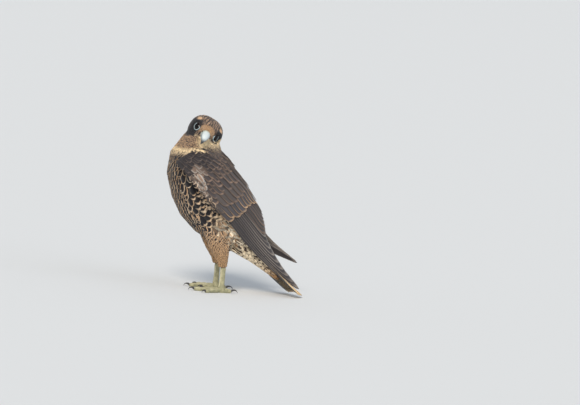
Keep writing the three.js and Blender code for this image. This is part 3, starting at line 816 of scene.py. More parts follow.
def head_feathers():
    """All feathers of the head, dealt out to a few pieces."""
    index = np.arange(HEAD_FEATHERS) + 0.5
    polar = np.arccos(1 - 2 * index / HEAD_FEATHERS)
    around = index * math.pi * (3 - math.sqrt(5))
    local = np.stack([np.cos(polar), np.sin(polar) * np.cos(around), np.sin(polar) * np.sin(around)], 1)
    # rays start outside the head, so that they don't stop in the sockets of the eyes
    outward = local @ head_axes
    hits, found = cast(to_frame(from_head(-2, 0, 0)) + outward * HEAD_BALL * MM, -outward, HEAD_RAY * MM)
    keep = found & (local[:, 2] > NECK_EDGE)
    in_head = to_head(from_frame(hits))
    keep &= in_head[:, 0] < BILL_EDGE
    for side in (-1, 1):
        rim = eye_centres[side] + eye_axis(side) * EYE_RIM
        keep &= np.linalg.norm(from_frame(hits) - rim, axis=1) > EYE_HOLE
    hits, in_head = hits[keep], in_head[keep]
    coat = head_plumage(from_frame(hits))
    lie = np.tile(np.array([[-1.0, 0, 0]]), (len(hits), 1))
    lie[:, 2] -= THROAT_DROOP * (in_head[:, 2] < 0)
    for side in (-1, 1):
        away = in_head - np.array([EYE_PLACE[0] + 5, side * (EYE_PLACE[1] + 6), EYE_PLACE[2]])
        far = np.linalg.norm(away, axis=1)
        lie += unit(away) * np.exp(-((far - PARTING_REACH) / PARTING_SOFT) ** 2)[:, None] * PARTING
    lie = lie @ head_axes + 0.08 * random_draw.normal(0, 1, lie.shape)
    front = smooth(in_head[:, 0], -20, 18)
    length = HEAD_LENGTHS[0] - HEAD_LENGTHS[1] * front
    width = HEAD_WIDTHS[0] - HEAD_WIDTHS[1] * front
    bake = on_map(0.02, np.arctan2(in_head[:, 1], in_head[:, 2]) / math.tau + 0.5,
                  np.clip((in_head[:, 0] + 40) / 70, 0.01, 0.99))
    pieces = []
    for k in range(HEAD_PIECES):
        pick = np.arange(len(hits)) % HEAD_PIECES == k
        pieces.append(feathers_on_skin(
            f"head_feathers_{k + 1}", hits[pick], lie[pick], length[pick], width[pick], coat.picked(pick),
            bake[pick], lift=(0.1, 1.1), ridge=0.15))
    return pieces


coat_pieces += head_feathers()

# %% [markdown]
# The thighs wear loose, soft trousers that hang down over the top of the bare leg.

# %% Thigh feathers
THIGH_ROWS = 24
THIGH_COLUMNS = 22
THIGH_RAY = 40.0
HIP = (-172, 24, 112)
KNEE = (-151, FOOT_Y, 45)


def thigh_feathers(name, side):
    """Staggered rings of feathers from the hip to below the knee."""
    top, knee = (np.array(place) * (1.0, side, 1.0) for place in (HIP, KNEE))
    share = np.repeat(np.linspace(0.0, 0.97, THIGH_ROWS), THIGH_COLUMNS)
    around = np.tile(np.arange(THIGH_COLUMNS) / THIGH_COLUMNS, THIGH_ROWS) * math.tau
    around = around + np.repeat(np.arange(THIGH_ROWS) % 2, THIGH_COLUMNS) * math.pi / THIGH_COLUMNS
    centre = top + (knee - top) * share[:, None]
    direction = np.stack([np.cos(around), np.sin(around), np.zeros_like(around)], 1)
    hits, found = cast(to_frame(centre), direction, THIGH_RAY * MM)
    hits, share, around = hits[found], share[found], around[found]
    coat = Plumage(len(hits), linear("#c9a075"), CHESTNUT, 0.22, 0.12)
    coat.lay(1 - share * 1.6, pale=BUFF, dark=INK, streak=0.34)
    lie = unit(knee - top) + 0.07 * random_draw.normal(0, 1, hits.shape)
    bake = on_map(0.03, around / math.tau % 1.0, share)
    return feathers_on_skin(name, hits, lie, 15 - 7 * share, 7 - 3 * share, coat, bake)


for side_name, side in BODY_SIDES:
    coat_pieces.append(thigh_feathers(f"thigh_feathers_{side_name}", side))

# %% [markdown]
# A folded wing is a fan closed like a hand of cards. The flight feathers lie lowest, each one slipping
# under its neighbour nearer the back. Over their roots lie the greater coverts, then the median and the
# lesser ones, in rows like tiles. Each feather is a plate bent to the wing's curve, thick as the real one.

# %% Wing feathers
VANE_THICK = 0.45
OVERLAP_SLOPE = 0.26
TUCK = 15.0
RISEN = 0.34  # share of a feather's length over which it comes up from under its neighbours
WING_STATIONS = np.array([0.0, 0.12, 0.26, 0.42, 0.58, 0.72, 0.84, 0.93, 0.98, 1.0])
WING_BREADTH = {
    "pointed": np.array([0.5, 0.8, 0.95, 1.0, 1.0, 0.95, 0.82, 0.6, 0.36, 0.1]),
    "round": np.array([0.5, 0.8, 0.95, 1.0, 1.0, 1.0, 0.96, 0.8, 0.5, 0.15]),
}
WEB_COLUMNS = np.array([-1.0, -0.5, 0.0, 0.5, 1.0])
PLATE_COLUMNS = np.concatenate([WEB_COLUMNS, WEB_COLUMNS[::-1]])
FLIGHT_ROOT = 62
SECONDARIES = 7
FIRST_LANE = 3.0
CROWN = 0.35
FAN_START = 120.0  # beyond here the lanes spread towards the tip
FAN_REACH = 170.0
FAN_SPREAD = 0.6
PRIMARY_TIPS = (1.0, 0.99, 0.945, 0.895, 0.845, 0.795, 0.745, 0.7, 0.66, 0.625)
# number, first angle, angle between, root, first tip, lengthening, width, lift, sink, jitter
COVERTS = {
    "greater_coverts": (11, 0, 6.7, 50, 118, 1.2, 18, 3.4, 2, 2.5),
    "median_coverts": (10, 1, 7.6, 40, 94, 1.1, 18, 4.5, 2, 3),
    "marginal_coverts": (10, -1, 7.8, 26, 72, 1.1, 17, 5.4, 2, 3),
}
# shape, wobble, pale, dark, streak and fringe of each tier
TIERS = {
    "primaries": ("pointed", 0.25, GREY_FRINGE, linear("#353235"), 0.88, 0.025),
    "secondaries": ("round", 0.25, FRINGE, linear("#464142"), 0.91, 0.025),
    "greater_coverts": ("round", 0.5, BUFF, SLATE, 0.94, 0.035),
    "median_coverts": ("round", 0.9, FRINGE, GREY_BROWN, 0.9, 0.05),
    "marginal_coverts": ("round", 0.9, FRINGE, UMBER, 0.88, 0.06),
    "lesser_coverts": ("round", 1.1, FRINGE, UMBER, 0.82, 0.1),
}
LESSER_ROWS = 8
CORE_STATIONS = 24
CORE_REACH = (-19, 138)
CORE_ANGLES = (0, 78)
CORE_LIFT = -1.2
CORE_THICK = 4.8
CORE_COLUMNS = np.linspace(-0.9, 0.9, 16)


def wing_point(wing, s, angle, lift):
    """A point of the folded wing's sheet, in millimetres: place along the chord, angle, lift."""
    offset, reach, side = table_at(wing["rows"], s)
    # the bend of the wing is tucked in against the breast
    lift = lift - TUCK * np.clip((10 - s) / 30, 0, 1) ** 1.5
    chord = np.array(wing["tip"]) - WRIST
    chord /= np.linalg.norm(chord)
    sine, cosine = np.sin(np.radians(angle)), np.cos(np.radians(angle))
    rise = offset + (reach + lift) * sine
    x = WRIST[0] + chord[0] * s - chord[1] * rise
    z = WRIST[1] + chord[1] * s + chord[0] * rise
    y = wing["side"] * (side + lift) * cosine
    return np.stack(np.broadcast_arrays(x, y, z), -1)


def wing_plates(wing, s, angle, lift, thick):
    """Rings of plates on the wing's sheet, upper points first and lower ones back again, in metres."""
    top, low = wing_point(wing, s, angle, lift), wing_point(wing, s, angle, lift - thick)
    rings = to_frame(np.concatenate([top, low[:, :, ::-1]], axis=2))
    return rings[:, :, ::-1] if wing["side"] > 0 else rings


def wing_coat(count, pale, dark, streak, fringe):
    """Dark vanes with a fringe, some more worn than others."""
    coat = Plumage(count, pale, dark, streak, fringe)
    worn = random_draw.random(count)
    return coat.lay(worn * 0.6, pale=GREY_BROWN).lay((1 - worn) * 0.4, dark=GREY_BROWN)


def wing_feathers(name, wing, lanes, shape, wobble, look, material):
    """Plates on the wing's sheet. Each lane has an angle, root, tip, width, lift and sink."""
    lane, root, tip, width, lift, sink = np.array(lanes, float).T[:, :, None, None]
    share = WING_STATIONS[:, None]
    breadth = WING_BREADTH[shape][:, None]
    s = root + (tip - root) * share
    spread = 1 + FAN_SPREAD * np.clip((s - FAN_START) / FAN_REACH, 0, 1)
    _, reach, side = table_at(wing["rows"], s)
    half = width * breadth / 2
    degrees = np.degrees(half / ((reach + side) / 2))
    base = -sink + (lift + sink) * np.minimum(1, share / RISEN)
    wobbles = random_draw.normal(0, wobble, (len(lanes), 1, 1))
    angle = FIRST_LANE + lane * spread + WEB_COLUMNS * degrees + wobbles
    crown = CROWN * (1 - WEB_COLUMNS ** 2) * breadth
    grid = wing_plates(wing, s, angle, base - WEB_COLUMNS * half * OVERLAP_SLOPE + crown, VANE_THICK)
    lane, root, tip = lane.ravel(), root.ravel(), tip.ravel()
    bake = on_map(0.03, np.clip(root + 40, 0, 300) / 340, np.clip(lane + 6, 0, 90) / 100)
    chance = random_draw.random(len(lanes))
    coat = wing_coat(len(lanes), *look)
    # slate-grey shoulder, and a pale grey patch on the left wing, painted sheen where light glances off its
    # vanes
    coat.lay((1 - smooth(tip - 8, 8, 40)) * 0.8, dark=SOOT, pale=GREY_BROWN)
    spot = np.sqrt(((tip - 22) / 13) ** 2 + ((lane - 13) / 9) ** 2)
    painted_sheen = (1 - smooth(spot, 0.4, 1.3)) * (wing["side"] < 0) * (0.5 + 0.5 * chance)
    coat.lay(painted_sheen, pale=SHEEN_GREY, dark=FRINGE, streak=0.5)
    return blade_mesh(name, grid, PLATE_COLUMNS, WING_STATIONS, coat, chance, bake, material)


def wing_core(name, wing):
    """Flesh and down of the folded wing, a dark plate under the roots of its feathers."""
    s = np.linspace(*CORE_REACH, CORE_STATIONS)[None, :, None]
    grid = wing_plates(wing, s, np.linspace(*CORE_ANGLES, len(CORE_COLUMNS)), CORE_LIFT, CORE_THICK)
    across = np.concatenate([CORE_COLUMNS, CORE_COLUMNS[::-1]])
    coat = Plumage(1, UMBER, UMBER, 1.3, 0.0)
    return blade_mesh(name, grid, across, np.linspace(0, 0.9, CORE_STATIONS), coat, np.array([0.3]),
                      np.array([[0.5, 0.9]]), contour_vane)


def wing_lanes(length):
    """Lanes of every tier, from the flight feathers up to the lesser coverts."""
    lanes = {
        "primaries": [(i * 3.4, FLIGHT_ROOT, length * tip, 15.5, 0.6, 3)
                      for i, tip in enumerate(PRIMARY_TIPS)],
        "secondaries": [(35 + i * 5.6, FLIGHT_ROOT, length * (0.61 - 0.016 * i), 20, 0.6, 3)
                        for i in range(SECONDARIES)],
    }
    for tier, (count, first, pitch, root, tip, lengthening, width, lift, sink, jitter) in COVERTS.items():
        lanes[tier] = [(first + pitch * i, root, tip + lengthening * i + random_draw.normal(0, jitter),
                        width, lift, sink) for i in range(count)]
    return lanes


def lesser_lanes():
    """Rows of small coverts over the wing's bend, growing longer backwards."""
    lanes = []
    for row in range(LESSER_ROWS):
        root, reach = -20 + row * 7.4, 14 + row * 2.3
        for angle in np.linspace(-2 + (row % 2) * 3, 80, 17 - row):
            lanes.append((angle, root, root + reach + random_draw.normal(0, 1.5), 8.5 + row * 0.8,
                          8.0 - row * 0.32, 1.2))
    return lanes


def dress_wing(side_name, wing):
    """All pieces of one wing, the primaries first."""
    tiers = wing_lanes(wing["rows"][-1, 0] - 3)
    pieces = []
    for tier, (shape, wobble, *look) in TIERS.items():
        lanes = tiers[tier] if tier in tiers else lesser_lanes()
        material = flight_vane if tier in tiers else contour_vane
        pieces.append(wing_feathers(f"{tier}_{side_name}", wing, lanes, shape, wobble, look, material))
    return pieces + [wing_core(f"wing_core_{side_name}", wing)]


wing_pieces = {name: dress_wing(name, wing) for name, wing in WINGS.items()}
print("wing pieces", sum(len(p) for p in wing_pieces.values()))

# %% [markdown]
# A resting falcon fluffs its flank feathers out over the lower edge of the folded wing. They are rooted
# on the flank and laid over whichever is farther out, the body or the wing's solid.

# %% Feathers over the wing's edge
EDGE_ROWS = (0.2, 0.5, 4.0, 3.4, 60, 79, 0.5)
EDGE_ANGLE = 70.0
EDGE_LENGTH = 16.0
EDGE_WIDTH = 6.5
EDGE_ROOM = 2.3
WING_RAY = 30.0
AXIS_POINTS = 120
axis_shares = np.linspace(0, 1, AXIS_POINTS)


def edge_feathers(side_name, side):
    """Small soft feathers that hide the seam between flank and wing."""
    wing_tree = tree_of(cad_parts[f"wing_{side_name}"].data)
    line = to_frame(trunk_frame(axis_shares)[0])
    limit = abs(solid_box[0][1]) - EDGE_ROOM * MM

    def over_wing(points):
        """Places on the skin, or on the wing where that is farther out."""
        places, normals = on_skin(points)
        for i, place in enumerate(points):
            radial = unit(places[i] - line[np.argmin(((line - place) ** 2).sum(1))])
            hit = wing_tree.ray_cast(places[i] + radial * WING_RAY * MM, -radial, WING_RAY * MM)[0]
            if hit is not None:
                places[i] = hit
                normals[i] = radial
        places[:, 1] = np.clip(places[:, 1], -limit, limit)
        return places, normals

    station, angle, hits, along, around = body_roots(side, EDGE_ROWS, np.inf)
    lie = along + around * 0.3 + 0.12 * random_draw.normal(0, 1, along.shape)
    coat = body_plumage(from_frame(hits), station, np.full(len(station), EDGE_ANGLE))
    high = smooth(angle, 62, 72)
    coat.lay(high * 0.85, pale=linear("#bfa88f"), dark=GREY_BROWN, streak=0.5, fringe=0.08)
    # the front ones get the same pale grey, as painted sheen
    coat.lay(high * (1 - smooth(station, 0.24, 0.32)), pale=SHEEN_GREY, dark=FRINGE, streak=0.4)
    size = EDGE_LENGTH + 2 * random_draw.normal(0, 1, len(station))
    width = np.full(len(station), EDGE_WIDTH)
    return feathers_on_skin(f"edge_feathers_{side_name}", hits, lie, size, width, coat,
                            body_map(side, angle, station), lift=(0.3, 1.4), surface=over_wing)


for side_name, side in BODY_SIDES:
    coat_pieces.append(edge_feathers(side_name, side))

# %% [markdown]
# Twelve tail feathers lie in two closed halves, the middle pair on top. They are brown-black, and a thin
# cream edge is left round each tip.

# %% Tail feathers
TAIL_SHAPE = np.array([0.8, 0.95, 1.0, 1.0, 1.0, 1.0, 1.0, 0.9, 0.62, 0.2])
TAIL_ROOT = 34
TAIL_TIP = 131.5
TAIL_HALF_WIDTH = 6.4
GROUND_ROOM = 0.02


def tail_point(place, across, lift):
    """A point of the tail's sloping sheet, in millimetres."""
    x, z, slope = table_at(TAIL, place)
    slope = np.radians(slope)
    return np.stack(np.broadcast_arrays(
        x + 0.62 * lift, np.cos(slope) * across, z - np.sin(slope) * across + 0.78 * lift), -1)


def tail_feathers():
    """Six feathers on each side; the right half ends a little sooner, so both tips show."""
    side = np.repeat([-1.0, 1.0], 6)[:, None, None]
    rank = np.tile(np.arange(6.0), 2)[:, None, None]
    share = WING_STATIONS[:, None]
    length = TAIL_TIP - 9 * (side > 0) - 1.6 * rank
    place = TAIL_ROOT + (length - TAIL_ROOT) * share
    middle = side * (6.8 + 3.3 * rank * (0.75 + 0.31 * share) + 3.2 * share ** 3)
    across = middle + TAIL_HALF_WIDTH * TAIL_SHAPE[:, None] * WEB_COLUMNS
    lift = 1.6 - 1.05 * rank + 0.3 * (1 - WEB_COLUMNS ** 2)
    top, low = tail_point(place, across, lift), tail_point(place, across, lift - VANE_THICK)
    top[..., 2] = np.maximum(top[..., 2], VANE_THICK)
    low[..., 2] = np.maximum(low[..., 2], GROUND_ROOM)
    grid = to_frame(np.concatenate([top, low[:, :, ::-1]], axis=2))
    coat = Plumage(12, CREAM, linear("#2f2b2c"), 0.93, 0.05)
    bake = np.stack([0.5 + side.ravel() * (rank.ravel() + 0.5) / 14, np.full(12, 0.5)], 1)
    return blade_mesh("tail_feathers", grid, PLATE_COLUMNS, WING_STATIONS, coat, random_draw.random(12), bake,
                      flight_vane)


tail_piece = tail_feathers()

# %% [markdown]
# A falcon's eye is large and dark: a brown-black iris that hardly shows round the pupil, under a clear
# wet cornea. A ring of bare, pale blue-grey skin surrounds it. The ball is a sphere with a slight bulge
# in front, and its colours go by the distance from its axis.

# %% Eyes
HEAD_SIDES = (("left", 1), ("right", -1))
PUPIL_EDGE = (24, 28)  # degrees from the eye's axis
IRIS_EDGE = (37, 40)
CORNEA_BULGE = 0.035
ROLL_SIDES = 12
LID_RINGS = 56
LID_RADIUS = 6.35
LID_DEPTH = 6.3
BROW_RINGS = 30
BROW_RADIUS = 7.1
BROW_DEPTH = 6.1
BROW_SWEEP = 68.0


def skin_material(name, base, blotch, roughness, scale_mm, bump_mm):
    """Bare skin or horn, soft to dull, with blotches and a grain of small cells."""
    material, tree, shader = new_material(name, {"Roughness": roughness, "IOR": 1.45})
    where = add_node(tree, "ShaderNodeTexCoord").outputs["Object"]
    grain = add_node(tree, "ShaderNodeTexNoise",
                     inputs={"Vector": where, "Scale": 1000 / scale_mm / 6, "Detail": 5.0})
    paint(tree, shader, step_mask(tree, grain.outputs["Fac"], 0.4, 0.65), linear(base), linear(blotch))
    cells = add_node(tree, "ShaderNodeTexVoronoi", inputs={"Vector": where, "Scale": 1000 / scale_mm})
    add_bump(tree, shader, cells.outputs["Distance"], 0.5, bump_mm * MM)
    return material


def eye_material():
    """A wet, mirror-smooth cornea, which gives each eye its bright glint, over a faintly grained iris."""
    material, tree, shader = new_material("wet_cornea", {
        "Roughness": 0.06, "IOR": 1.38, "Specular IOR Level": 0.45,
    })
    tint = add_node(tree, "ShaderNodeAttribute", {"attribute_name": "iris"}).outputs["Color"]
    grain = add_node(tree, "ShaderNodeTexNoise", inputs={"Scale": 900.0, "Detail": 3.0}).outputs["Color"]
    paint(tree, shader, 0.35, tint, grain, "MULTIPLY")
    return material


cornea = eye_material()
# a pale bare ring sets off the dark eye
lid_skin = skin_material("bare_lid_skin", "#a3b8be", "#c9d8dc", 0.5, 0.9, 0.12)
# a dull dark edge deepens the shade under the brow
lash_skin = skin_material("dark_brow_skin", "#221f20", "#3a3330", 0.85, 0.7, 0.25)


def eye_piece(name, side):
    """The ball with pupil, iris and dark rim."""
    work = bmesh.new()
    ball(work, EYE_RADIUS * MM, segments=64, rings=40)
    axis = eye_axis(side)
    turned = Vector((0, 0, 1)).rotation_difference(Vector(axis)).to_matrix().to_4x4()
    bmesh.ops.transform(work, matrix=turned, verts=work.verts)
    mesh = mesh_from_work(name, work)
    places = vectors_of(mesh, "co")
    cosine = unit(places) @ axis
    bulge = 1 + CORNEA_BULGE * smooth(cosine, 0.55, 1.0)
    mesh.vertices.foreach_set("co", (places * bulge[:, None] + to_frame(eye_centres[side])).ravel())
    away = np.degrees(np.arccos(np.clip(cosine, -1, 1)))
    colour = np.tile(np.array(linear("#040405")), (len(places), 1))
    colour = blend_in(colour, smooth(away, *PUPIL_EDGE), linear("#1a110d"))
    colour = blend_in(colour, smooth(away, *IRIS_EDGE), linear("#080707"))
    store_colours(mesh, "iris", colour)
    return link_piece(name, mesh, cornea)


def roll_points(side, first, angles, radius, depth, wide, deep):
    """Rings of a soft roll of skin round an eye's axis, from values for each angle, in metres."""
    axis = eye_axis(side)
    second = np.cross(axis, first)
    turned = np.arange(ROLL_SIDES) / ROLL_SIDES * math.tau
    out = first * np.cos(angles)[:, None] + second * np.sin(angles)[:, None]
    outward = (radius + wide[:, None] * np.cos(turned))[..., None]
    forward = (depth + deep[:, None] * np.sin(turned))[..., None]
    return to_frame(eye_centres[side] + out[:, None] * outward + axis * forward).reshape(-1, 3)


def lid_piece(name, side):
    """Ring of bare skin round the eye, with low folds."""
    angles = np.arange(LID_RINGS) / LID_RINGS * math.tau
    wave = 1 + 0.05 * np.sin(angles * 9) + 0.04 * np.sin(angles * 5 + 1)
    first = unit(np.cross(eye_axis(side), np.array([0, 0, 1.0])))
    points = roll_points(side, first, angles, LID_RADIUS, LID_DEPTH, 0.6 * wave, 0.8 * wave)
    faces = []
    for here in range(0, len(points), ROLL_SIDES):
        ahead = (here + ROLL_SIDES) % len(points)
        faces += [(here + s, ahead + s, ahead + (s + 1) % ROLL_SIDES, here + (s + 1) % ROLL_SIDES)
                  for s in range(ROLL_SIDES)]
    return link_piece(name, mesh_from(name, points, faces), lid_skin)


def brow_piece(name, side):
    """Dark edge of the brow, which shades the upper part of the eye."""
    share = np.linspace(0, 1, BROW_RINGS)
    axis = eye_axis(side)
    over = np.array([0.12, 0.0, 1.0]) @ head_axes
    over = unit(over - (over @ axis) * axis)
    thick = 0.25 + 1.5 * np.abs(np.sin(math.pi * share)) ** 0.7
    angles = np.radians(BROW_SWEEP * (2 * share - 1))
    depth = (BROW_DEPTH + 0.5 * thick)[:, None]
    points = roll_points(side, over, angles, BROW_RADIUS, depth, 0.9 * thick, thick)
    return link_piece(name, mesh_from(name, points, loft_faces(BROW_RINGS, ROLL_SIDES)), lash_skin)


eyes = {name: eye_piece(f"eyeball_{name}", side) for name, side in HEAD_SIDES}
lids = {name: lid_piece(f"lid_{name}", side) for name, side in HEAD_SIDES}
brows = {name: brow_piece(f"brow_{name}", side) for name, side in HEAD_SIDES}

# %% [markdown]
# The bill is horn over bone. A young bird's is pale blue-grey at the base and slate at the hooked tip.
# The cere is soft waxy skin over its root. The solids have the true form in flat facets, so copies of
# them are remeshed finely and smoothed, which rounds the facets without moving the outline.

# %% Bill, cere, feet and claws
TOE_NAMES = ("inner", "middle", "outer", "hind")


def rounded_copy(name, node, voxel, passes, material):
    """A solid's copy with its facets rounded off."""
    piece = remeshed(joined(name, [swollen(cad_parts[node].data.copy())]), voxel, 0.5, passes)
    finish_mesh(piece.data, material)
    return piece


def horn_material(name, root, tip, roughness):
    """Polished horn with a soft sheen, mottled, whose colour runs from root to tip by a stored share."""
    material, tree, shader = new_material(name, {
        "Roughness": roughness, "IOR": 1.54, "Coat Weight": 0.3, "Coat Roughness": 0.2,
    })
    share = add_node(tree, "ShaderNodeAttribute", {"attribute_name": "tipward"}).outputs["Fac"]
    grain = add_node(tree, "ShaderNodeTexNoise", inputs={"Scale": 420.0, "Detail": 4.0}).outputs["Fac"]
    mottle = math_node(tree, "MULTIPLY", math_node(tree, "SUBTRACT", grain, 0.5), 0.9)
    mottled = math_node(tree, "ADD", share, mottle)
    paint(tree, shader, step_mask(tree, mottled, 0.35, 0.95), linear(root), linear(tip))
    add_bump(tree, shader, grain, 0.2, 0.1 * MM)
    return material


def store_share(piece, values):
    """One number from 0 to 1 for every point, which the horn reads."""
    layer = piece.data.attributes.new("tipward", "FLOAT", "POINT")
    layer.data.foreach_set("value", np.clip(values, 0, 1).astype(np.float32))


# pale blue-grey smooth horn, lightened near white as painted highlight, is the brightest thing in the face,
# and darkens to slate at the hook
bill_horn = horn_material("keratin_bill_horn", "#c8d2d3", "#2f363d", 0.32)
# near-black polished horn draws a thin line of light along each claw
claw_horn = horn_material("keratin_claw_horn", "#3a3634", "#141214", 0.28)
# waxy skin looks a little warmer and softer than the horn beside it
cere_skin = skin_material("waxy_cere_skin", "#a5b0a4", "#c9cdbd", 0.42, 0.8, 0.08)
# small rough scales break up the light on the legs
foot_skin = skin_material("scaly_foot_skin", "#8f8d6f", "#aba684", 0.55, 1.3, 0.3)
# plates are paler and smoother than the scales round them, so the toes look ringed
scute_horn = skin_material("scute_horn", "#a6a283", "#bdb898", 0.42, 2.5, 0.1)
# the nostril's floor stays dark from every side
nostril_shade = skin_material("nostril_shade", "#15171a", "#1d2023", 0.8, 1.0, 0.05)

bill = rounded_copy("bill_horn", "bill_upper", 0.3, 3, bill_horn)
bill_below = rounded_copy("bill_horn_below", "bill_lower", 0.3, 3, bill_horn)
cere = rounded_copy("cere_skin", "cere", 0.3, 2, cere_skin)
for piece in (bill, bill_below):
    _, aside, rise = to_head(from_frame(vectors_of(piece.data, "co"))).T
    # the sides of the bill are painted darker, as painted shade where they turn away from the light
    sides_painted_shade = 0.45 * smooth(np.abs(aside), 3.5, 7.5)
    store_share(piece, sides_painted_shade + (np.maximum(-rise / 13, 0.2) if piece is bill else 0.25))


def nostril_piece(name, side):
    """Dark floor of the nostril, with the small bony bump in its middle."""
    work = bmesh.new()
    for radius, place in ((1.5, (26.0, side * 7.2, 1.2)), (0.42, (26.2, side * 8.5, 1.2))):
        ball(work, radius * MM, to_frame(from_head(*place)), 20, 14)
    return link_piece(name, mesh_from_work(name, work), nostril_shade)


nostrils = [nostril_piece(f"nostril_{name}", side) for name, side in HEAD_SIDES]
feet, claws = {}, {}
for side_name, side in BODY_SIDES:
    feet[side_name] = rounded_copy(f"leg_{side_name}", f"foot_{side_name}", 0.7, 3, foot_skin)
    for toe in TOE_NAMES:
        node = f"claw_{side_name}_{toe}"
        piece = rounded_copy(f"talon_{side_name}_{toe}", node, 0.3, 2, claw_horn)
        away = np.linalg.norm(vectors_of(piece.data, "co") - to_frame((FOOT_X, side * FOOT_Y, 0)), axis=1)
        store_share(piece, (away - away.min()) / (away.max() - away.min()))
        claws[node] = piece
print("bill, cere, feet and", len(claws), "claws")

# %% [markdown]
# The top of every toe and the front of the bare leg carry a row of horny plates, the scutes, each one
# lapping over the next. They are thin curved tiles dropped on the foot from above, or from the front.

# %% Scutes
TOES = {"inner": (30.0, 32.0), "middle": (46.0, 3.0), "outer": (36.0, -34.0), "hind": (19.0, 172.0)}
SCUTE_LENGTH = 2.9
SCUTE_STEP = 2.2
SCUTE_HALF = 3.0
SCUTE_SHARES = (0.0, 0.35, 0.8, 1.0)
SCUTE_COLUMNS = np.linspace(-1, 1, 7)
SCUTE_SUNK = -0.25
LEG_SCUTES = 13
LEG_TOP = 40.0


def scute_rows(side):
    """Place, direction along, across and out, and half width of each plate, in millimetres."""
    rows = []
    for length, turned in TOES.values():
        angle = math.radians(turned)
        along = np.array([-math.cos(angle), -side * math.sin(angle), 0.0])
        across = np.array([-along[1], along[0], 0.0])
        for k in range(int((length - 7) / SCUTE_STEP)):
            start = np.array([FOOT_X - 1, side * FOOT_Y, 0.0]) + along * (6 + k * SCUTE_STEP)
            half = SCUTE_HALF - 0.9 * k * SCUTE_STEP / length
            rows.append((start, along, across, np.array([0, 0, 1.0]), half))
    for k in range(LEG_SCUTES):
        rows.append((np.array([FOOT_X, side * FOOT_Y, LEG_TOP - k * 2.3]), np.array([0, 0, -1.0]),
                     np.array([0, 1.0, 0]), np.array([-1.0, 0, 0]), 3.1))
    return rows


def tile_faces(rings, sides):
    """Faces of a flat tube of rings, with a strip of four-sided faces over each end."""
    strip = [(i, i + 1, sides - 2 - i, sides - 1 - i) for i in range(sides // 2 - 1)]
    last = (rings - 1) * sides
    ends = [face[::-1] for face in strip] + [tuple(last + corner for corner in face) for face in strip]
    return loft_faces(rings, sides)[:-2] + ends


def scute_piece(name, side, foot):
    """All plates of one foot; each point is dropped on the foot and raised in a low arch."""
    foot_tree = tree_of(foot.data)
    tile = tile_faces(len(SCUTE_SHARES), 2 * len(SCUTE_COLUMNS))
    points, faces = [], []
    for place, along, across, out, half in scute_rows(side):
        faces += [tuple(len(points) + corner for corner in face) for face in tile]
        for share in SCUTE_SHARES:
            tops, unders = [], []
            for column in SCUTE_COLUMNS:
                ground = place + along * share * SCUTE_LENGTH + across * column * half
                hit = foot_tree.ray_cast(Vector(to_frame(ground + out * 20)), Vector(-out), 0.03)[0]
                if hit is None:
                    hit = foot_tree.find_nearest(Vector(to_frame(ground + out * 4)))[0]
                arch = math.sin(math.pi * min(share + 0.1, 0.95)) * (1 - 0.5 * column ** 2)
                tops.append(np.array(hit) + out * (0.08 + 0.5 * arch) * MM)
                unders.append(np.array(hit) + out * SCUTE_SUNK * MM)
            points += tops + unders[::-1]
    return link_piece(name, mesh_from(name, points, faces), scute_horn)


scutes = {name: scute_piece(f"scutes_{name}", side, feet[name]) for name, side in BODY_SIDES}
print("scutes on both feet")

# %% [markdown]
# The skin is hidden almost everywhere. It still carries the same pigments as the feathers over it, so
# that a chink between them shows plumage and not bare skin, darkened by a fifth as painted shade.

# %% Skin's markings
# the skin shows only in chinks, so its colours are darkened there as painted shade
CHINK_PAINTED_SHADE = 0.8
HEAD_REACH = np.array([34, 31, 28])


def mark_skin():
    """Colours and maps of the skin, from the nearest point of the body's middle line."""
    mesh = skin.data
    points = from_frame(vectors_of(mesh, "co"))
    axis, _, belly = trunk_frame(axis_shares)
    near = np.array([np.argmin(((axis - p) ** 2).sum(1)) for p in points])
    offset = points - axis[near]
    angle = np.degrees(np.arctan2(np.abs(offset[:, 1]), (offset * belly[near]).sum(1)))
    coat = body_plumage(points, axis_shares[near], angle)
    head = head_plumage(points)
    on_head = 1 - smooth(np.linalg.norm(to_head(points) / HEAD_REACH, axis=1), 1.05, 1.25)
    coat.lay(on_head, pale=head.pale, dark=head.dark)
    coat.lay(np.ones(len(points)), fringe=0)
    store_colours(mesh, "pale", coat.pale * CHINK_PAINTED_SHADE)
    store_colours(mesh, "dark", coat.dark * CHINK_PAINTED_SHADE)
    store_colours(mesh, "marks", coat.marks(np.full(len(points), 0.5)))
    store_map(mesh, "OFBake", body_map(np.sign(points[:, 1]), angle, axis_shares[near]))
    store_map(mesh, "Vane", np.tile([0.8, 0.5], (len(points), 1)))
    finish_mesh(mesh, contour_vane)


mark_skin()
print("skin marked")

# %% [markdown]
# Every piece rides on the one body of the part and hides the solids that it stands for. The solids of
# wings and tail are stood for by their feathers, and the flesh by the skin.


# %% Ride and replace
def place_piece(piece, finish, *nodes):
    """Rides a piece on the root and hides the solids that it stands for; finish is not used."""
    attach(piece, "root")
    if nodes:
        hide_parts(*nodes)


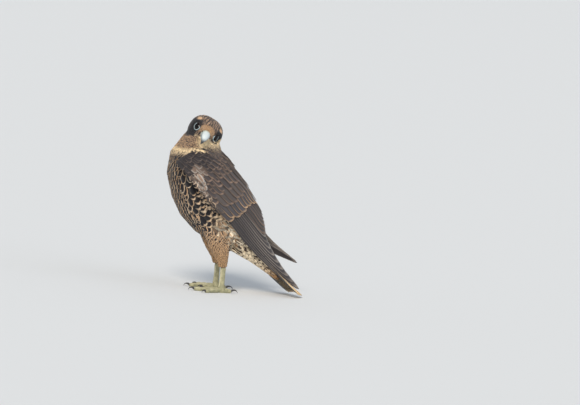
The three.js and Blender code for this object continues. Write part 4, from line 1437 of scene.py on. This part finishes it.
for piece in coat_pieces:
    place_piece(piece, "plumage_head" if piece.name.startswith("head") else "plumage_breast")
place_piece(skin, "plumage_breast", *FLESH)
for side_name, (first, *others) in wing_pieces.items():
    place_piece(first, "plumage_back", f"wing_{side_name}")
    for piece in others:
        place_piece(piece, "plumage_back")
place_piece(tail_piece, "tail_feathers", "tail")
for side_name in eyes:
    place_piece(eyes[side_name], "eye", f"eye_{side_name}")
    place_piece(feet[side_name], "foot", f"foot_{side_name}")
    place_piece(lids[side_name], "cere")
    place_piece(scutes[side_name], "foot")
    place_piece(brows[side_name], "plumage_head")
for piece in nostrils:
    place_piece(piece, "cere")
for node, piece in claws.items():
    place_piece(piece, "claw", node)
place_piece(bill, "bill", "bill_upper")
place_piece(bill_below, "bill", "bill_lower")
place_piece(cere, "cere", "cere")

# %% [markdown]
# The bird stands on a plain pale floor that runs out of sight. A broad soft light from the upper left
# of the camera models the forms, a weaker one from the right fills the shade, and a pale sky adds the rest.

# %% Floor and light
FLOOR_SIDES = 96
SKY_STRENGTH = 0.6


def make_floor():
    """A round floor in dull paint with a hardly visible change of tone."""
    turns = [i / FLOOR_SIDES * math.tau for i in range(FLOOR_SIDES)]
    points = [(FLOOR_REACH * math.cos(t), FLOOR_REACH * math.sin(t), 0.0) for t in turns]
    material, tree, shader = new_material("matte_floor_paint", {"Roughness": 0.9})
    grain = add_node(tree, "ShaderNodeTexNoise", inputs={"Scale": 3.0, "Detail": 2.0})
    paint(tree, shader, grain.outputs["Fac"], linear("#d9dcde"), linear("#dfe1e2"))
    floor = link_piece("floor", mesh_from("floor", points, [tuple(range(FLOOR_SIDES))]), material)


def soft_light(name, towards, strength, spread, colour):
    """Even light from one side, as a very large far lamp gives; spread is its breadth in degrees."""
    data = bpy.data.lights.new(name, "SUN")
    data.energy = strength
    data.angle = math.radians(spread)
    data.color = linear(colour)[:3]
    light = bpy.data.objects.new(name, data)
    bpy.context.scene.collection.objects.link(light)
    light.location = Vector(towards)
    light.rotation_mode = "QUATERNION"
    light.rotation_quaternion = Vector(towards).to_track_quat("Z", "Y")


make_floor()
soft_light("key", (-0.9, -2.0, 1.8), 2.7, 22, "#fff6ea")
soft_light("fill", (1.8, -1.4, 1.2), 0.5, 50, "#e8f0ff")
world = bpy.data.worlds.new("sky")
bpy.context.scene.world = world
world.use_nodes = True
sky = world.node_tree.nodes["Background"]
sky.inputs["Color"].default_value = linear("#dfe6ee")
sky.inputs["Strength"].default_value = SKY_STRENGTH
bpy.context.scene.view_settings.view_transform = "Standard"

# %% [markdown]
